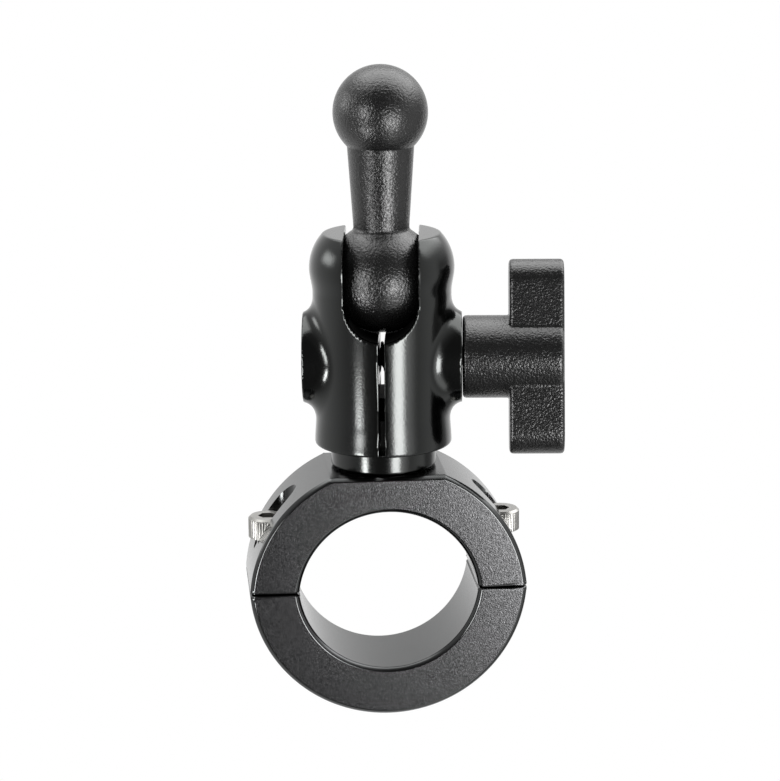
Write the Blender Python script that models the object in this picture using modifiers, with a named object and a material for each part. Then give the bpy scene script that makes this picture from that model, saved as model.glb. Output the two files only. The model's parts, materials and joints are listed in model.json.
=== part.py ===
"""Handlebar phone mount: split-ring clamp, swivelling two-jaw arm, wing knob and double-ball stud.

Metres, +Z up. The origin is the centre of the handlebar bore, on the split between the ring's halves.
+Y runs along the bar and +X points to the knob's side.
"""

from math import atan2, cos, hypot, pi, radians, sin, sqrt

import bmesh
import bpy
from mathutils import Vector

MM = 0.001

# Clearances
FIT_GAP = 0.3 * MM                  # between pieces that touch
SPLIT_GAP = 0.3 * MM                # between the closed halves of the ring
OVERSHOOT = 2.0 * MM                # how far a cutter runs past the face it opens

# Split ring
BORE_RADIUS = 16.4 * MM
RING_WALL = 8.9 * MM
ARC_OFFSET = 1.7 * MM               # each half's arcs are centred this far past the split
RING_DEPTH = 19.5 * MM
RING_EDGE = 0.7 * MM
FLAT_DEPTH = 2.2 * MM               # flat on top, below the crown of the outer arc

# Clamp bolts, M4 socket heads
BOLT_RADIUS = 2.0 * MM
BOLT_LENGTH = 14.0 * MM
BOLT_HEAD_RADIUS = 3.5 * MM
BOLT_HEAD_HEIGHT = 4.0 * MM
BOLT_HEAD_EDGE = 0.4 * MM
BOLT_KEY = 3.0 * MM                 # across flats
BOLT_KEY_DEPTH = 2.0 * MM
BOLT_FROM_BORE = 5.06 * MM
BOLT_SEAT_HEIGHT = 8.3 * MM         # underside of the head, above the split
BOLT_HOLE_GAP = 0.6 * MM            # drilled hole in the upper half
POCKET_INSET = 1.5 * MM             # the head's pocket runs this far further inwards

# Swivel post
COLLAR_RADIUS = 9.6 * MM
COLLAR_HEIGHT = 3.65 * MM
COLLAR_EDGE = 0.5 * MM
JOURNAL_RADIUS = 6.0 * MM
JOURNAL_HEIGHT = 5.55 * MM
GROOVE_DEPTH = 1.6 * MM
GROOVE_WIDTH = 2.8 * MM
POST_HEAD_HEIGHT = 1.3 * MM
POST_CONE_HEIGHT = 1.2 * MM

# Countersunk screw that holds the post, M5
POST_SCREW_RADIUS = 2.5 * MM
POST_SCREW_HEAD_RADIUS = 4.6 * MM
POST_SCREW_RIM = 0.4 * MM
POST_SCREW_SINK = 0.5 * MM          # head below the bore's crown
POST_SCREW_GRIP = 8.0 * MM          # length of thread in the post
POST_SCREW_KEY = 3.0 * MM
POST_SCREW_KEY_DEPTH = 1.6 * MM

# Jaws
ARM_TURN = radians(-6.2)            # swivel at rest
JAW_SLOT = 1.3 * MM
JAW_RIM_RADIUS = 12.4 * MM
JAW_RIM_ROUND = 1.0 * MM
JAW_LOWER_WAIST = 12.08 * MM
JAW_LOWER_WAIST_RISE = 3.65 * MM    # above the jaws' bottom
JAW_UPPER_WAIST = 12.54 * MM
JAW_UPPER_WAIST_DROP = 4.4 * MM     # below the bulge
JAW_WALL = 3.1 * MM                 # round the ball
JAW_BULGE_RISE = 1.8 * MM           # widest height above the ball's centre
JAW_TOP_RISE = 6.3 * MM             # flat top above the bulge
JAW_TOP_INSET = 2.5 * MM            # flat top inside the bulge
BOSS_RADIUS = 8.0 * MM
BOSS_STAND = 1.86 * MM              # boss's end beyond the upper waist
BOSS_FILLET = 3.6 * MM              # between boss and turned body
SCREW_ABOVE_POST = 5.2 * MM
SOCKET_FLOOR = 1.35 * MM            # between the ball's socket and the spring's pocket
OPENING_GAP = 0.65 * MM             # each side of the stud's thickest neck
OPENING_ABOVE_SCREW = 5.05 * MM

# Ball stud
UPPER_BALL_RADIUS = 8.5 * MM        # for the phone holder's socket
LOWER_BALL_RADIUS = 10.0 * MM       # between the jaws
BALL_SPACING = 29.8 * MM
NECK_TOP_RADIUS = 6.0 * MM
NECK_BOTTOM_RADIUS = 5.03 * MM
NECK_FILLET = 0.8 * MM

# Knob screw, M4, with its nut, spring and washer
SCREW_RADIUS = 2.0 * MM
SCREW_ROOT_RADIUS = 3.0 * MM        # moulded into the knob
SCREW_ROOT_LENGTH = 11.0 * MM
SCREW_POINT = 0.5 * MM
NUT_FLATS = 7.0 * MM
NUT_THICKNESS = 3.2 * MM
NUT_SINK = 0.4 * MM                 # below the left boss's end
WASHER_RADIUS = 6.0 * MM
WASHER_THICKNESS = 1.0 * MM
SPRING_WIRE = 0.5 * MM              # diameter
SPRING_COIL_GAP = 0.35 * MM         # between the wire and the screw
SPRING_POCKET_DEPTH = 4.0 * MM
SPRING_CURLS = 7

# Wing knob
KNOB_STANDOFF = 0.5 * MM            # hub's face beyond the right boss's end
HUB_RADIUS = 7.5 * MM
HUB_LENGTH = 17.9 * MM
WING_LENGTH = 9.9 * MM              # along the knob's axis
WING_HALF_SPAN = 17.6 * MM
WING_THICKNESS = 10.8 * MM
WING_CORNER = 4.2 * MM
KNOB_EDGE = 0.65 * MM
HUB_END_STEP = 0.2 * MM             # hub's end inside the wings' outer face
KNOB_TURN = radians(-13.0)

# Facets
SHARP_ANGLE = radians(50.0)         # an edge sharper than this is a real edge
RING_STEPS = 78                     # not a multiple of 4, so no edge runs along the crown
ROUND_STEPS = 40
SMALL_STEPS = 24
CORNER_STEPS = 6
EDGE_STEPS = 3
ARM_STEPS = 60
ARM_ROWS = 36
REACH_HALVINGS = 40                 # search steps for the arm's blended surface
CURL_POINTS = 9

# Worked out
RING_RADIUS = BORE_RADIUS + RING_WALL
FLAT_Z = RING_RADIUS - ARC_OFFSET - FLAT_DEPTH
BORE_CROWN = BORE_RADIUS - ARC_OFFSET
BOLT_X = BORE_RADIUS + BOLT_FROM_BORE

COLLAR_BOTTOM = FLAT_Z + FIT_GAP
COLLAR_TOP = COLLAR_BOTTOM + COLLAR_HEIGHT
GROOVE_BOTTOM = COLLAR_TOP + JOURNAL_HEIGHT
GROOVE_TOP = GROOVE_BOTTOM + GROOVE_WIDTH
POST_HEAD_TOP = GROOVE_TOP + POST_HEAD_HEIGHT
POST_TOP = POST_HEAD_TOP + POST_CONE_HEIGHT
GROOVE_RADIUS = JOURNAL_RADIUS - GROOVE_DEPTH

SPRING_RADIUS = SCREW_RADIUS + SPRING_COIL_GAP + SPRING_WIRE / 2
SPRING_POCKET_RADIUS = SPRING_RADIUS + SPRING_WIRE / 2 + FIT_GAP
SPRING_REACH = JAW_SLOT / 2 + SPRING_POCKET_DEPTH - FIT_GAP

JAW_BOTTOM = COLLAR_TOP + FIT_GAP
SCREW_Z = POST_TOP + SCREW_ABOVE_POST
SOCKET_RADIUS = LOWER_BALL_RADIUS + FIT_GAP
BALL_Z = SCREW_Z + SPRING_POCKET_RADIUS + SOCKET_FLOOR + SOCKET_RADIUS
BULGE_Z = BALL_Z + JAW_BULGE_RISE
JAW_TOP = BULGE_Z + JAW_TOP_RISE
JAW_BULGE = LOWER_BALL_RADIUS + JAW_WALL
BOSS_END = JAW_UPPER_WAIST + BOSS_STAND
OPENING_HALF_WIDTH = NECK_TOP_RADIUS + OPENING_GAP
OPENING_BOTTOM = SCREW_Z + OPENING_ABOVE_SCREW

HUB_FACE = BOSS_END + KNOB_STANDOFF
KNOB_END = HUB_FACE + HUB_LENGTH
WASHER_OUTER_FACE = HUB_FACE - FIT_GAP
WASHER_INNER_FACE = WASHER_OUTER_FACE - WASHER_THICKNESS
NUT_OUTER_FACE = BOSS_END - NUT_SINK
NUT_INNER_FACE = NUT_OUTER_FACE - NUT_THICKNESS

ALONG_X = (0, pi / 2, 0)            # turns a piece built along +Z to lie along +X
ALONG_Y = (pi / 2, 0, 0)            # stands a flat outline up in the XZ plane
ACROSS_X = (pi / 2, 0, pi / 2)      # stands a flat outline up in the YZ plane


def clear_scene():
    for obj in list(bpy.data.objects):
        bpy.data.objects.remove(obj, do_unlink=True)


def new_collection(name):
    collection = bpy.data.collections.new(name)
    bpy.context.scene.collection.children.link(collection)
    return collection


def new_material(name, colour, roughness, metallic):
    material = bpy.data.materials.new(name)
    material.use_nodes = True
    shader = material.node_tree.nodes["Principled BSDF"]
    shader.inputs["Base Color"].default_value = (*colour, 1.0)
    shader.inputs["Roughness"].default_value = roughness
    shader.inputs["Metallic"].default_value = metallic
    return material


clear_scene()
PARTS = new_collection("phone_mount")
CUTTERS = new_collection("cutters")

BLASTED_BLACK = new_material("blasted_black_aluminium", (0.035, 0.035, 0.035), 0.55, 0.6)
GLOSS_BLACK = new_material("gloss_black_aluminium", (0.012, 0.013, 0.012), 0.22, 0.4)
GRAINED_PLASTIC = new_material("grained_black_plastic", (0.022, 0.022, 0.022), 0.5, 0.0)
BRIGHT_STEEL = new_material("bright_steel", (0.62, 0.62, 0.60), 0.3, 1.0)
DARK_STEEL = new_material("dark_steel", (0.05, 0.05, 0.05), 0.4, 1.0)


def new_object(name, data, collection, parent=None, location=(0, 0, 0), rotation=(0, 0, 0)):
    obj = bpy.data.objects.new(name, data)
    collection.objects.link(obj)
    obj.parent = parent
    obj.location = location
    obj.rotation_euler = rotation
    return obj


def finish(obj, material):
    """Make an object a finished part with its own material."""
    obj.data.materials.clear()
    obj.data.materials.append(material)
    return obj


def as_cutter(obj):
    """Move an object to the cutters and keep it out of the model."""
    PARTS.objects.unlink(obj)
    CUTTERS.objects.link(obj)
    obj.hide_render = True
    obj.display_type = 'WIRE'
    return obj


def empty(name, location=(0, 0, 0), rotation=(0, 0, 0), parent=None):
    return new_object(name, None, PARTS, parent, location, rotation)


def boolean(target, tool, operation='DIFFERENCE'):
    modifier = target.modifiers.new(tool.name, 'BOOLEAN')
    modifier.operation = operation
    modifier.solver = 'EXACT'
    modifier.object = tool


def bevel(target, width):
    """Round every edge sharper than the corners between facets."""
    modifier = target.modifiers.new("edges", 'BEVEL')
    modifier.width = width
    modifier.segments = 2
    modifier.limit_method = 'ANGLE'
    modifier.angle_limit = SHARP_ANGLE


def arc(centre, radius, start, end, count):
    """Points on an arc, both ends included; angles in radians from the first axis."""
    angles = [start + (end - start) * i / count for i in range(count + 1)]
    return [(centre[0] + radius * cos(a), centre[1] + radius * sin(a)) for a in angles]


def turned(name, profile, parent=None, location=(0, 0, 0), rotation=(0, 0, 0), *,
           steps=ROUND_STEPS, bored=False):
    """A body turned about its own Z from (radius, height) points that run top to bottom.

    A bored body's profile is closed from its last point to its first.
    """
    mesh = bpy.data.meshes.new(name)
    points = [(radius, 0, height) for radius, height in profile]
    edges = [(i, i + 1) for i in range(len(points) - 1)]
    if bored:
        edges.append((len(points) - 1, 0))
    mesh.from_pydata(points, edges, [])
    obj = new_object(name, mesh, PARTS, parent, location, rotation)
    screw = obj.modifiers.new("turn", 'SCREW')
    screw.steps = steps
    screw.render_steps = steps
    screw.use_merge_vertices = True
    screw.merge_threshold = 0.01 * MM
    screw.use_smooth_shade = True
    return obj


def to_mesh(obj):
    """Replace a curve or a modified object by its welded mesh, smooth but for its real edges."""
    bpy.context.view_layer.update()
    graph = bpy.context.evaluated_depsgraph_get()
    mesh = bpy.data.meshes.new_from_object(obj.evaluated_get(graph))
    shape = bmesh.new()
    shape.from_mesh(mesh)
    bmesh.ops.remove_doubles(shape, verts=shape.verts, dist=0.001 * MM)
    shape.to_mesh(mesh)
    shape.free()
    mesh.shade_smooth()
    mesh.set_sharp_from_angle(angle=SHARP_ANGLE)
    name = obj.name
    solid = new_object(name, mesh, PARTS, obj.parent, obj.location, obj.rotation_euler)
    bpy.data.objects.remove(obj, do_unlink=True)
    solid.name = name
    return solid


def triangulate(mesh):
    shape = bmesh.new()
    shape.from_mesh(mesh)
    bmesh.ops.triangulate(shape, faces=shape.faces)
    shape.to_mesh(mesh)
    shape.free()


def plate(name, outline, thickness, parent=None, location=(0, 0, 0), rotation=(0, 0, 0)):
    """A flat outline with thickness along its own Z, centred on it."""
    curve = bpy.data.curves.new(name, 'CURVE')
    curve.dimensions = '2D'
    curve.fill_mode = 'BOTH'
    curve.extrude = thickness / 2
    spline = curve.splines.new('POLY')
    spline.points.add(len(outline) - 1)
    for point, (x, y) in zip(spline.points, outline):
        point.co = (x, y, 0, 1)
    spline.use_cyclic_u = True
    return to_mesh(new_object(name, curve, PARTS, parent, location, rotation))


def box(name, low, high, parent=None):
    mesh = bpy.data.meshes.new(name)
    shape = bmesh.new()
    bmesh.ops.create_cube(shape, size=1.0)
    size = Vector(high) - Vector(low)
    centre = (Vector(high) + Vector(low)) / 2
    bmesh.ops.scale(shape, vec=size, verts=shape.verts)
    bmesh.ops.translate(shape, vec=centre, verts=shape.verts)
    shape.to_mesh(mesh)
    shape.free()
    return new_object(name, mesh, PARTS, parent)


def rod(radius, low, high):
    """Profile of a plain rod."""
    return [(0, high), (radius, high), (radius, low), (0, low)]


def hexagon(flats):
    return arc((0, 0), flats / sqrt(3), 0, 2 * pi, 6)[:-1]


def ring_half(name, side):
    """One half of the ring: a turned ring with chamfered edges, centred past the split and cut there."""
    end = RING_DEPTH / 2
    edge = RING_EDGE
    profile = [
        (BORE_RADIUS + edge, end), (RING_RADIUS - edge, end), (RING_RADIUS, end - edge),
        (RING_RADIUS, edge - end), (RING_RADIUS - edge, -end), (BORE_RADIUS + edge, -end),
        (BORE_RADIUS, edge - end), (BORE_RADIUS, end - edge),
    ]
    centre = (0, 0, -side * ARC_OFFSET)
    half = turned(name, profile, None, centre, ALONG_Y, steps=RING_STEPS, bored=True)
    wide = RING_RADIUS + OVERSHOOT
    ends = sorted((side * SPLIT_GAP / 2, -side * (wide + ARC_OFFSET)))
    split = box(name + "_split", (-wide, -wide, ends[0]), (wide, wide, ends[1]))
    boolean(half, as_cutter(split))
    return finish(half, BLASTED_BLACK)


def ring_flat():
    """Cutter for the flat on top of the ring, with the chamfers along its front and back edges."""
    end = RING_DEPTH / 2
    edge = RING_EDGE
    outer = end + OVERSHOOT
    low = FLAT_Z - edge - OVERSHOOT
    high = RING_RADIUS + OVERSHOOT
    outline = [
        (-outer, high), (-outer, low), (edge - end, FLAT_Z),
        (end - edge, FLAT_Z), (outer, low), (outer, high),
    ]
    return as_cutter(plate("ring_flat", outline, 2 * RING_RADIUS, rotation=ACROSS_X))


def bolt_pocket(name, side):
    """Obround pocket for a bolt's head, open to the outside of the ring."""
    radius = BOLT_HEAD_RADIUS + FIT_GAP
    inner = BOLT_X - POCKET_INSET
    outer = RING_RADIUS + OVERSHOOT
    outline = arc((inner, 0), radius, pi / 2, 3 * pi / 2, SMALL_STEPS // 2)
    outline += [(outer, -radius), (outer, radius)]
    floor = BOLT_SEAT_HEIGHT - FIT_GAP
    height = RING_RADIUS - floor
    middle = (0, 0, floor + height / 2)
    turn = (0, 0, 0 if side > 0 else pi)
    return as_cutter(plate(name, outline, height, location=middle, rotation=turn))


def clamp_bolt(name, side):
    """Socket head bolt, with its origin on its own axis at the underside of its head."""
    top = BOLT_HEAD_HEIGHT
    edge = BOLT_HEAD_EDGE
    tip = -BOLT_LENGTH
    profile = [
        (0, top), (BOLT_HEAD_RADIUS - edge, top), (BOLT_HEAD_RADIUS, top - edge), (BOLT_HEAD_RADIUS, 0),
        (BOLT_RADIUS, 0), (BOLT_RADIUS, tip + edge), (BOLT_RADIUS - edge, tip), (0, tip),
    ]
    place = (side * BOLT_X, 0, BOLT_SEAT_HEIGHT)
    bolt = turned(name, profile, location=place, steps=SMALL_STEPS)
    key_depth = BOLT_KEY_DEPTH + OVERSHOOT
    key = plate(name + "_key", hexagon(BOLT_KEY), key_depth,
                location=(place[0], 0, place[2] + top - BOLT_KEY_DEPTH + key_depth / 2))
    boolean(bolt, as_cutter(key))
    return finish(bolt, BRIGHT_STEEL)


def build_clamp():
    """Split ring with its two bolts."""
    upper = ring_half("clamp_upper_half", 1)
    lower = ring_half("clamp_lower_half", -1)
    boolean(upper, ring_flat())
    drilled = BOLT_RADIUS + BOLT_HOLE_GAP
    tapped = BOLT_RADIUS + FIT_GAP
    tip = BOLT_SEAT_HEIGHT - BOLT_LENGTH
    for label, side in (("left", -1), ("right", 1)):
        x = side * BOLT_X
        boolean(upper, bolt_pocket("bolt_pocket_" + label, side))
        hole = turned("bolt_hole_" + label, rod(drilled, -OVERSHOOT, BOLT_SEAT_HEIGHT), location=(x, 0, 0),
                      steps=SMALL_STEPS)
        boolean(upper, as_cutter(hole))
        thread = turned("bolt_thread_" + label, rod(tapped, tip - FIT_GAP, OVERSHOOT), location=(x, 0, 0),
                        steps=SMALL_STEPS)
        boolean(lower, as_cutter(thread))
        clamp_bolt("clamp_bolt_" + label, side)
    return upper


def build_post(upper):
    """Turned post on the ring's flat, with the screw that holds it from inside the bore."""
    edge = COLLAR_EDGE
    cone_radius = JOURNAL_RADIUS - POST_CONE_HEIGHT
    collar_inner = COLLAR_RADIUS - edge
    profile = [
        (0, POST_TOP), (cone_radius, POST_TOP), (JOURNAL_RADIUS, POST_HEAD_TOP),
        (JOURNAL_RADIUS, GROOVE_TOP), (GROOVE_RADIUS, GROOVE_TOP),
        (GROOVE_RADIUS, GROOVE_BOTTOM), (JOURNAL_RADIUS, GROOVE_BOTTOM),
        (JOURNAL_RADIUS, COLLAR_TOP), (collar_inner, COLLAR_TOP), (COLLAR_RADIUS, COLLAR_TOP - edge),
        (COLLAR_RADIUS, COLLAR_BOTTOM + edge), (collar_inner, COLLAR_BOTTOM), (0, COLLAR_BOTTOM),
    ]
    post = turned("swivel_post", profile)

    head = BORE_CROWN + POST_SCREW_SINK
    shoulder = head + POST_SCREW_RIM + POST_SCREW_HEAD_RADIUS - POST_SCREW_RADIUS
    tip = COLLAR_BOTTOM + POST_SCREW_GRIP
    profile = [
        (0, tip), (POST_SCREW_RADIUS, tip), (POST_SCREW_RADIUS, shoulder),
        (POST_SCREW_HEAD_RADIUS, head + POST_SCREW_RIM), (POST_SCREW_HEAD_RADIUS, head), (0, head),
    ]
    screw = turned("post_screw", profile, steps=SMALL_STEPS)
    key_depth = POST_SCREW_KEY_DEPTH + OVERSHOOT
    key = plate("post_screw_key", hexagon(POST_SCREW_KEY), key_depth,
                location=(0, 0, head + POST_SCREW_KEY_DEPTH - key_depth / 2))
    boolean(screw, as_cutter(key))

    hole = POST_SCREW_RADIUS + FIT_GAP
    sunk = POST_SCREW_HEAD_RADIUS + FIT_GAP
    seat = [
        (0, tip + FIT_GAP), (hole, tip + FIT_GAP), (hole, shoulder), (sunk, shoulder - sunk + hole),
        (sunk, 0), (0, 0),
    ]
    seat_cutter = as_cutter(turned("post_screw_seat", seat, steps=SMALL_STEPS))
    boolean(upper, seat_cutter)
    boolean(post, seat_cutter)
    finish(post, GLOSS_BLACK)
    finish(screw, DARK_STEEL)


def eased(low, high, share):
    """Value between two others, level at both ends."""
    return low + (high - low) * share * share * (3 - 2 * share)


def jaw_radius(z):
    """Outer radius of the arm at a height: rim, two waists and the bulge round the ball."""
    if z > BULGE_Z:
        rise, inset = JAW_TOP_RISE, JAW_TOP_INSET
        round_radius = (rise ** 2 + inset ** 2) / (2 * inset)
        return JAW_BULGE - round_radius + sqrt(round_radius ** 2 - (z - BULGE_Z) ** 2)
    stations = (
        (JAW_BOTTOM + JAW_RIM_ROUND, JAW_RIM_RADIUS), (JAW_BOTTOM + JAW_LOWER_WAIST_RISE, JAW_LOWER_WAIST),
        (BULGE_Z - JAW_UPPER_WAIST_DROP, JAW_UPPER_WAIST), (BULGE_Z, JAW_BULGE),
    )
    for (low, low_radius), (high, high_radius) in zip(stations, stations[1:]):
        if z <= high:
            return eased(low_radius, high_radius, max(0.0, (z - low) / (high - low)))
    return JAW_BULGE


def outside_arm(x, y, z):
    """Distance outside the arm's turned body, filleted to the screw's two bosses.

    The blend narrows where the surfaces meet at a flatter angle, as a fillet of one radius does.
    """
    around_arm = hypot(x, y)
    around_screw = hypot(y, z - SCREW_Z)
    body = around_arm - jaw_radius(z)
    boss = max(around_screw - BOSS_RADIUS, abs(x) - BOSS_END - BOSS_FILLET)
    likeness = y * y / (around_arm * around_screw) if around_screw else 0.0
    blend = BOSS_FILLET * (1 - likeness)
    overlap = max(blend - abs(body - boss), 0.0)
    return min(body, boss) - (overlap * overlap / (4 * blend) if overlap else 0.0)


def arm_reach(angle, z):
    """Radius at which a level ray from the arm's axis leaves the blended body."""
    inside, outside = jaw_radius(z), 2 * BOSS_END
    for _ in range(REACH_HALVINGS):
        middle = (inside + outside) / 2
        if outside_arm(middle * cos(angle), middle * sin(angle), z) < 0:
            inside = middle
        else:
            outside = middle
    return inside


def arm_blank(name, arm):
    """Solid arm before it is split and bored: a turned body whose wall is drawn out to the bosses."""
    rim_top = JAW_BOTTOM + JAW_RIM_ROUND
    heights = [JAW_TOP + (rim_top - JAW_TOP) * i / ARM_ROWS for i in range(ARM_ROWS + 1)]
    rim_inner = JAW_RIM_RADIUS - JAW_RIM_ROUND
    rim = arc((rim_inner, rim_top), JAW_RIM_ROUND, 0, -pi / 2, EDGE_STEPS)[1:]
    profile = [(0, JAW_TOP)] + [(jaw_radius(z), z) for z in heights] + rim + [(0, JAW_BOTTOM)]
    blank = to_mesh(turned(name, profile, arm, steps=ARM_STEPS))
    for vertex in blank.data.vertices:
        x, y, z = vertex.co
        if abs(z - SCREW_Z) < BOSS_RADIUS + BOSS_FILLET:
            angle = atan2(y, x)
            reach = arm_reach(angle, z)
            vertex.co = (reach * cos(angle), reach * sin(angle), z)
    triangulate(blank.data)
    for side, label in ((-1, "left"), (1, "right")):
        ends = sorted((side * BOSS_END, side * 2 * BOSS_END))
        low = (ends[0], -BOSS_END, JAW_BOTTOM)
        high = (ends[1], BOSS_END, JAW_TOP)
        boolean(blank, as_cutter(box(f"{name}_boss_face_{label}", low, high, arm)))
    return blank


def ball_opening(arm):
    """U-shaped opening through both sides of the arm, for the stud's neck."""
    centre = OPENING_BOTTOM + OPENING_HALF_WIDTH
    top = JAW_TOP + OVERSHOOT
    outline = arc((0, centre), OPENING_HALF_WIDTH, -pi, 0, SMALL_STEPS)
    outline += [(OPENING_HALF_WIDTH, top), (-OPENING_HALF_WIDTH, top)]
    depth = 2 * (JAW_BULGE + OVERSHOOT)
    return as_cutter(plate("ball_opening", outline, depth, arm, rotation=ALONG_Y))


def ball_socket(arm):
    profile = arc((0, 0), SOCKET_RADIUS, pi / 2, -pi / 2, ROUND_STEPS // 2)
    return as_cutter(turned("ball_socket", profile, arm, (0, 0, BALL_Z)))


def post_pocket(arm):
    """Pocket that turns on the post, with the rib that runs in the post's groove."""
    wide = JOURNAL_RADIUS + FIT_GAP
    rib = GROOVE_RADIUS + FIT_GAP
    profile = [
        (0, POST_TOP + FIT_GAP), (wide, POST_TOP + FIT_GAP), (wide, GROOVE_TOP - FIT_GAP),
        (rib, GROOVE_TOP - FIT_GAP), (rib, GROOVE_BOTTOM + FIT_GAP), (wide, GROOVE_BOTTOM + FIT_GAP),
        (wide, JAW_BOTTOM - OVERSHOOT), (0, JAW_BOTTOM - OVERSHOOT),
    ]
    return as_cutter(turned("post_pocket", profile, arm))


def screw_bore(arm):
    """Screw hole through both jaws, widened where they face each other for the spring."""
    hole = SCREW_RADIUS + FIT_GAP
    pocket = SPRING_POCKET_RADIUS
    depth = JAW_SLOT / 2 + SPRING_POCKET_DEPTH
    reach = BOSS_END + OVERSHOOT
    profile = [
        (0, reach), (hole, reach), (hole, depth), (pocket, depth), (pocket, -depth), (hole, -depth),
        (hole, -reach), (0, -reach),
    ]
    return as_cutter(turned("screw_bore", profile, arm, (0, 0, SCREW_Z), ALONG_X, steps=SMALL_STEPS))


def build_jaws(arm):
    """Both jaws: one blank split by the slot, with the same bores, a nut pocket and a spot face."""
    shared = [ball_opening(arm), ball_socket(arm), post_pocket(arm), screw_bore(arm)]

    nut_outline = hexagon(NUT_FLATS + 2 * FIT_GAP)
    nut_floor = NUT_INNER_FACE - FIT_GAP
    nut_depth = BOSS_END + OVERSHOOT - nut_floor
    nut_middle = (-nut_floor - nut_depth / 2, 0, SCREW_Z)
    nut_pocket = plate("nut_pocket", nut_outline, nut_depth, arm, nut_middle, ALONG_X)
    spot = rod(WASHER_RADIUS + FIT_GAP, WASHER_INNER_FACE - FIT_GAP, BOSS_END + OVERSHOOT)
    spot_face = turned("washer_spot_face", spot, arm, (0, 0, SCREW_Z), ALONG_X, steps=SMALL_STEPS)

    wide = 2 * BOSS_END
    half_slot = JAW_SLOT / 2
    for label, side, pocket in (("left", -1, nut_pocket), ("right", 1, spot_face)):
        jaw = arm_blank(label + "_jaw", arm)
        ends = sorted((side * half_slot, -side * wide))
        low = (ends[0], -wide, JAW_BOTTOM - OVERSHOOT)
        high = (ends[1], wide, JAW_TOP + OVERSHOOT)
        boolean(jaw, as_cutter(box(label + "_jaw_split", low, high, arm)))
        for cutter in shared:
            boolean(jaw, cutter)
        boolean(jaw, as_cutter(pocket))
        finish(jaw, GLOSS_BLACK)


def build_stud(arm):
    """Stud with a ball at each end, turned in one piece, with its origin at the lower ball's centre."""
    upper_meet = sqrt(UPPER_BALL_RADIUS ** 2 - NECK_TOP_RADIUS ** 2)
    foot_radius = NECK_BOTTOM_RADIUS + NECK_FILLET / 2
    lower_meet = sqrt(LOWER_BALL_RADIUS ** 2 - foot_radius ** 2)
    upper_angle = atan2(-upper_meet, NECK_TOP_RADIUS)
    lower_angle = atan2(lower_meet, foot_radius)
    profile = arc((0, BALL_SPACING), UPPER_BALL_RADIUS, pi / 2, upper_angle, SMALL_STEPS // 2)
    profile += [(NECK_BOTTOM_RADIUS, lower_meet + NECK_FILLET)]
    profile += arc((0, 0), LOWER_BALL_RADIUS, lower_angle, -pi / 2, SMALL_STEPS // 2)
    finish(turned("ball_stud", profile, arm, (0, 0, BALL_Z)), GRAINED_PLASTIC)


def build_knob_screw(arm):
    """Screw through both jaws, with its nut and washer, on the knob's axis."""
    axis = (0, 0, SCREW_Z)
    tip = -NUT_OUTER_FACE
    root = HUB_FACE + FIT_GAP
    root_end = root + SCREW_ROOT_LENGTH
    profile = [
        (0, root_end), (SCREW_ROOT_RADIUS, root_end), (SCREW_ROOT_RADIUS, root), (SCREW_RADIUS, root),
        (SCREW_RADIUS, tip + SCREW_POINT), (SCREW_RADIUS - SCREW_POINT, tip), (0, tip),
    ]
    screw = turned("knob_screw", profile, arm, axis, ALONG_X, steps=SMALL_STEPS)
    finish(screw, DARK_STEEL)

    bore = SCREW_RADIUS + FIT_GAP
    nut_middle = (NUT_OUTER_FACE + NUT_INNER_FACE) / 2
    nut = plate("jaw_nut", hexagon(NUT_FLATS), NUT_THICKNESS, arm, (-nut_middle, 0, SCREW_Z), ALONG_X)
    thread = rod(bore, -BOSS_END - OVERSHOOT, 0)
    hole = turned("nut_thread", thread, arm, axis, ALONG_X, steps=SMALL_STEPS)
    boolean(nut, as_cutter(hole))
    finish(nut, BRIGHT_STEEL)

    profile = [
        (bore, WASHER_OUTER_FACE), (WASHER_RADIUS, WASHER_OUTER_FACE), (WASHER_RADIUS, WASHER_INNER_FACE),
        (bore, WASHER_INNER_FACE),
    ]
    washer = turned("knob_washer", profile, arm, axis, ALONG_X, steps=SMALL_STEPS, bored=True)
    finish(washer, DARK_STEEL)


def spring_points():
    """Centre line of the spring along X: a helix whose ends run straight out to their seats."""
    reach = SPRING_REACH - SPRING_WIRE
    count = SPRING_CURLS * CURL_POINTS
    points = []
    for i in range(count + 1):
        angle = 2 * pi * i / CURL_POINTS
        x = reach * (2 * i / count - 1)
        points.append(Vector((x, SPRING_RADIUS * cos(angle), SPRING_RADIUS * sin(angle))))
    first = points[0] - Vector((SPRING_WIRE, 0, 0))
    last = points[-1] + Vector((SPRING_WIRE, 0, 0))
    return [first] + points + [last]


def least_self_gap(points):
    """Smallest clear distance between the spring's curls, wire surface to wire surface."""
    apart = CURL_POINTS // 2
    pairs = ((a, b) for i, a in enumerate(points) for b in points[i + apart:])
    return min((a - b).length for a, b in pairs) - SPRING_WIRE


def build_spring(arm):
    points = spring_points()
    curve = bpy.data.curves.new("jaw_spring", 'CURVE')
    curve.dimensions = '3D'
    curve.bevel_depth = SPRING_WIRE / 2
    curve.bevel_resolution = 1
    curve.use_fill_caps = True
    spline = curve.splines.new('POLY')
    spline.points.add(len(points) - 1)
    for target, point in zip(spline.points, points):
        target.co = (*point, 1)
    spring = new_object("jaw_spring", curve, PARTS, arm, (0, 0, SCREW_Z))
    finish(spring, DARK_STEEL)
    print(f"jaw_spring least gap to itself: {least_self_gap(points) / MM:.2f} mm")


def wing_outline():
    """Rounded rectangle across the knob's axis: span along X, thickness along Y."""
    along = WING_HALF_SPAN - WING_CORNER
    across = WING_THICKNESS / 2 - WING_CORNER
    centres = ((along, across), (-along, across), (-along, -across), (along, -across))
    outline = []
    for quarter, centre in enumerate(centres):
        start = quarter * pi / 2
        outline += arc(centre, WING_CORNER, start, start + pi / 2, CORNER_STEPS)
    return outline


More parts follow.
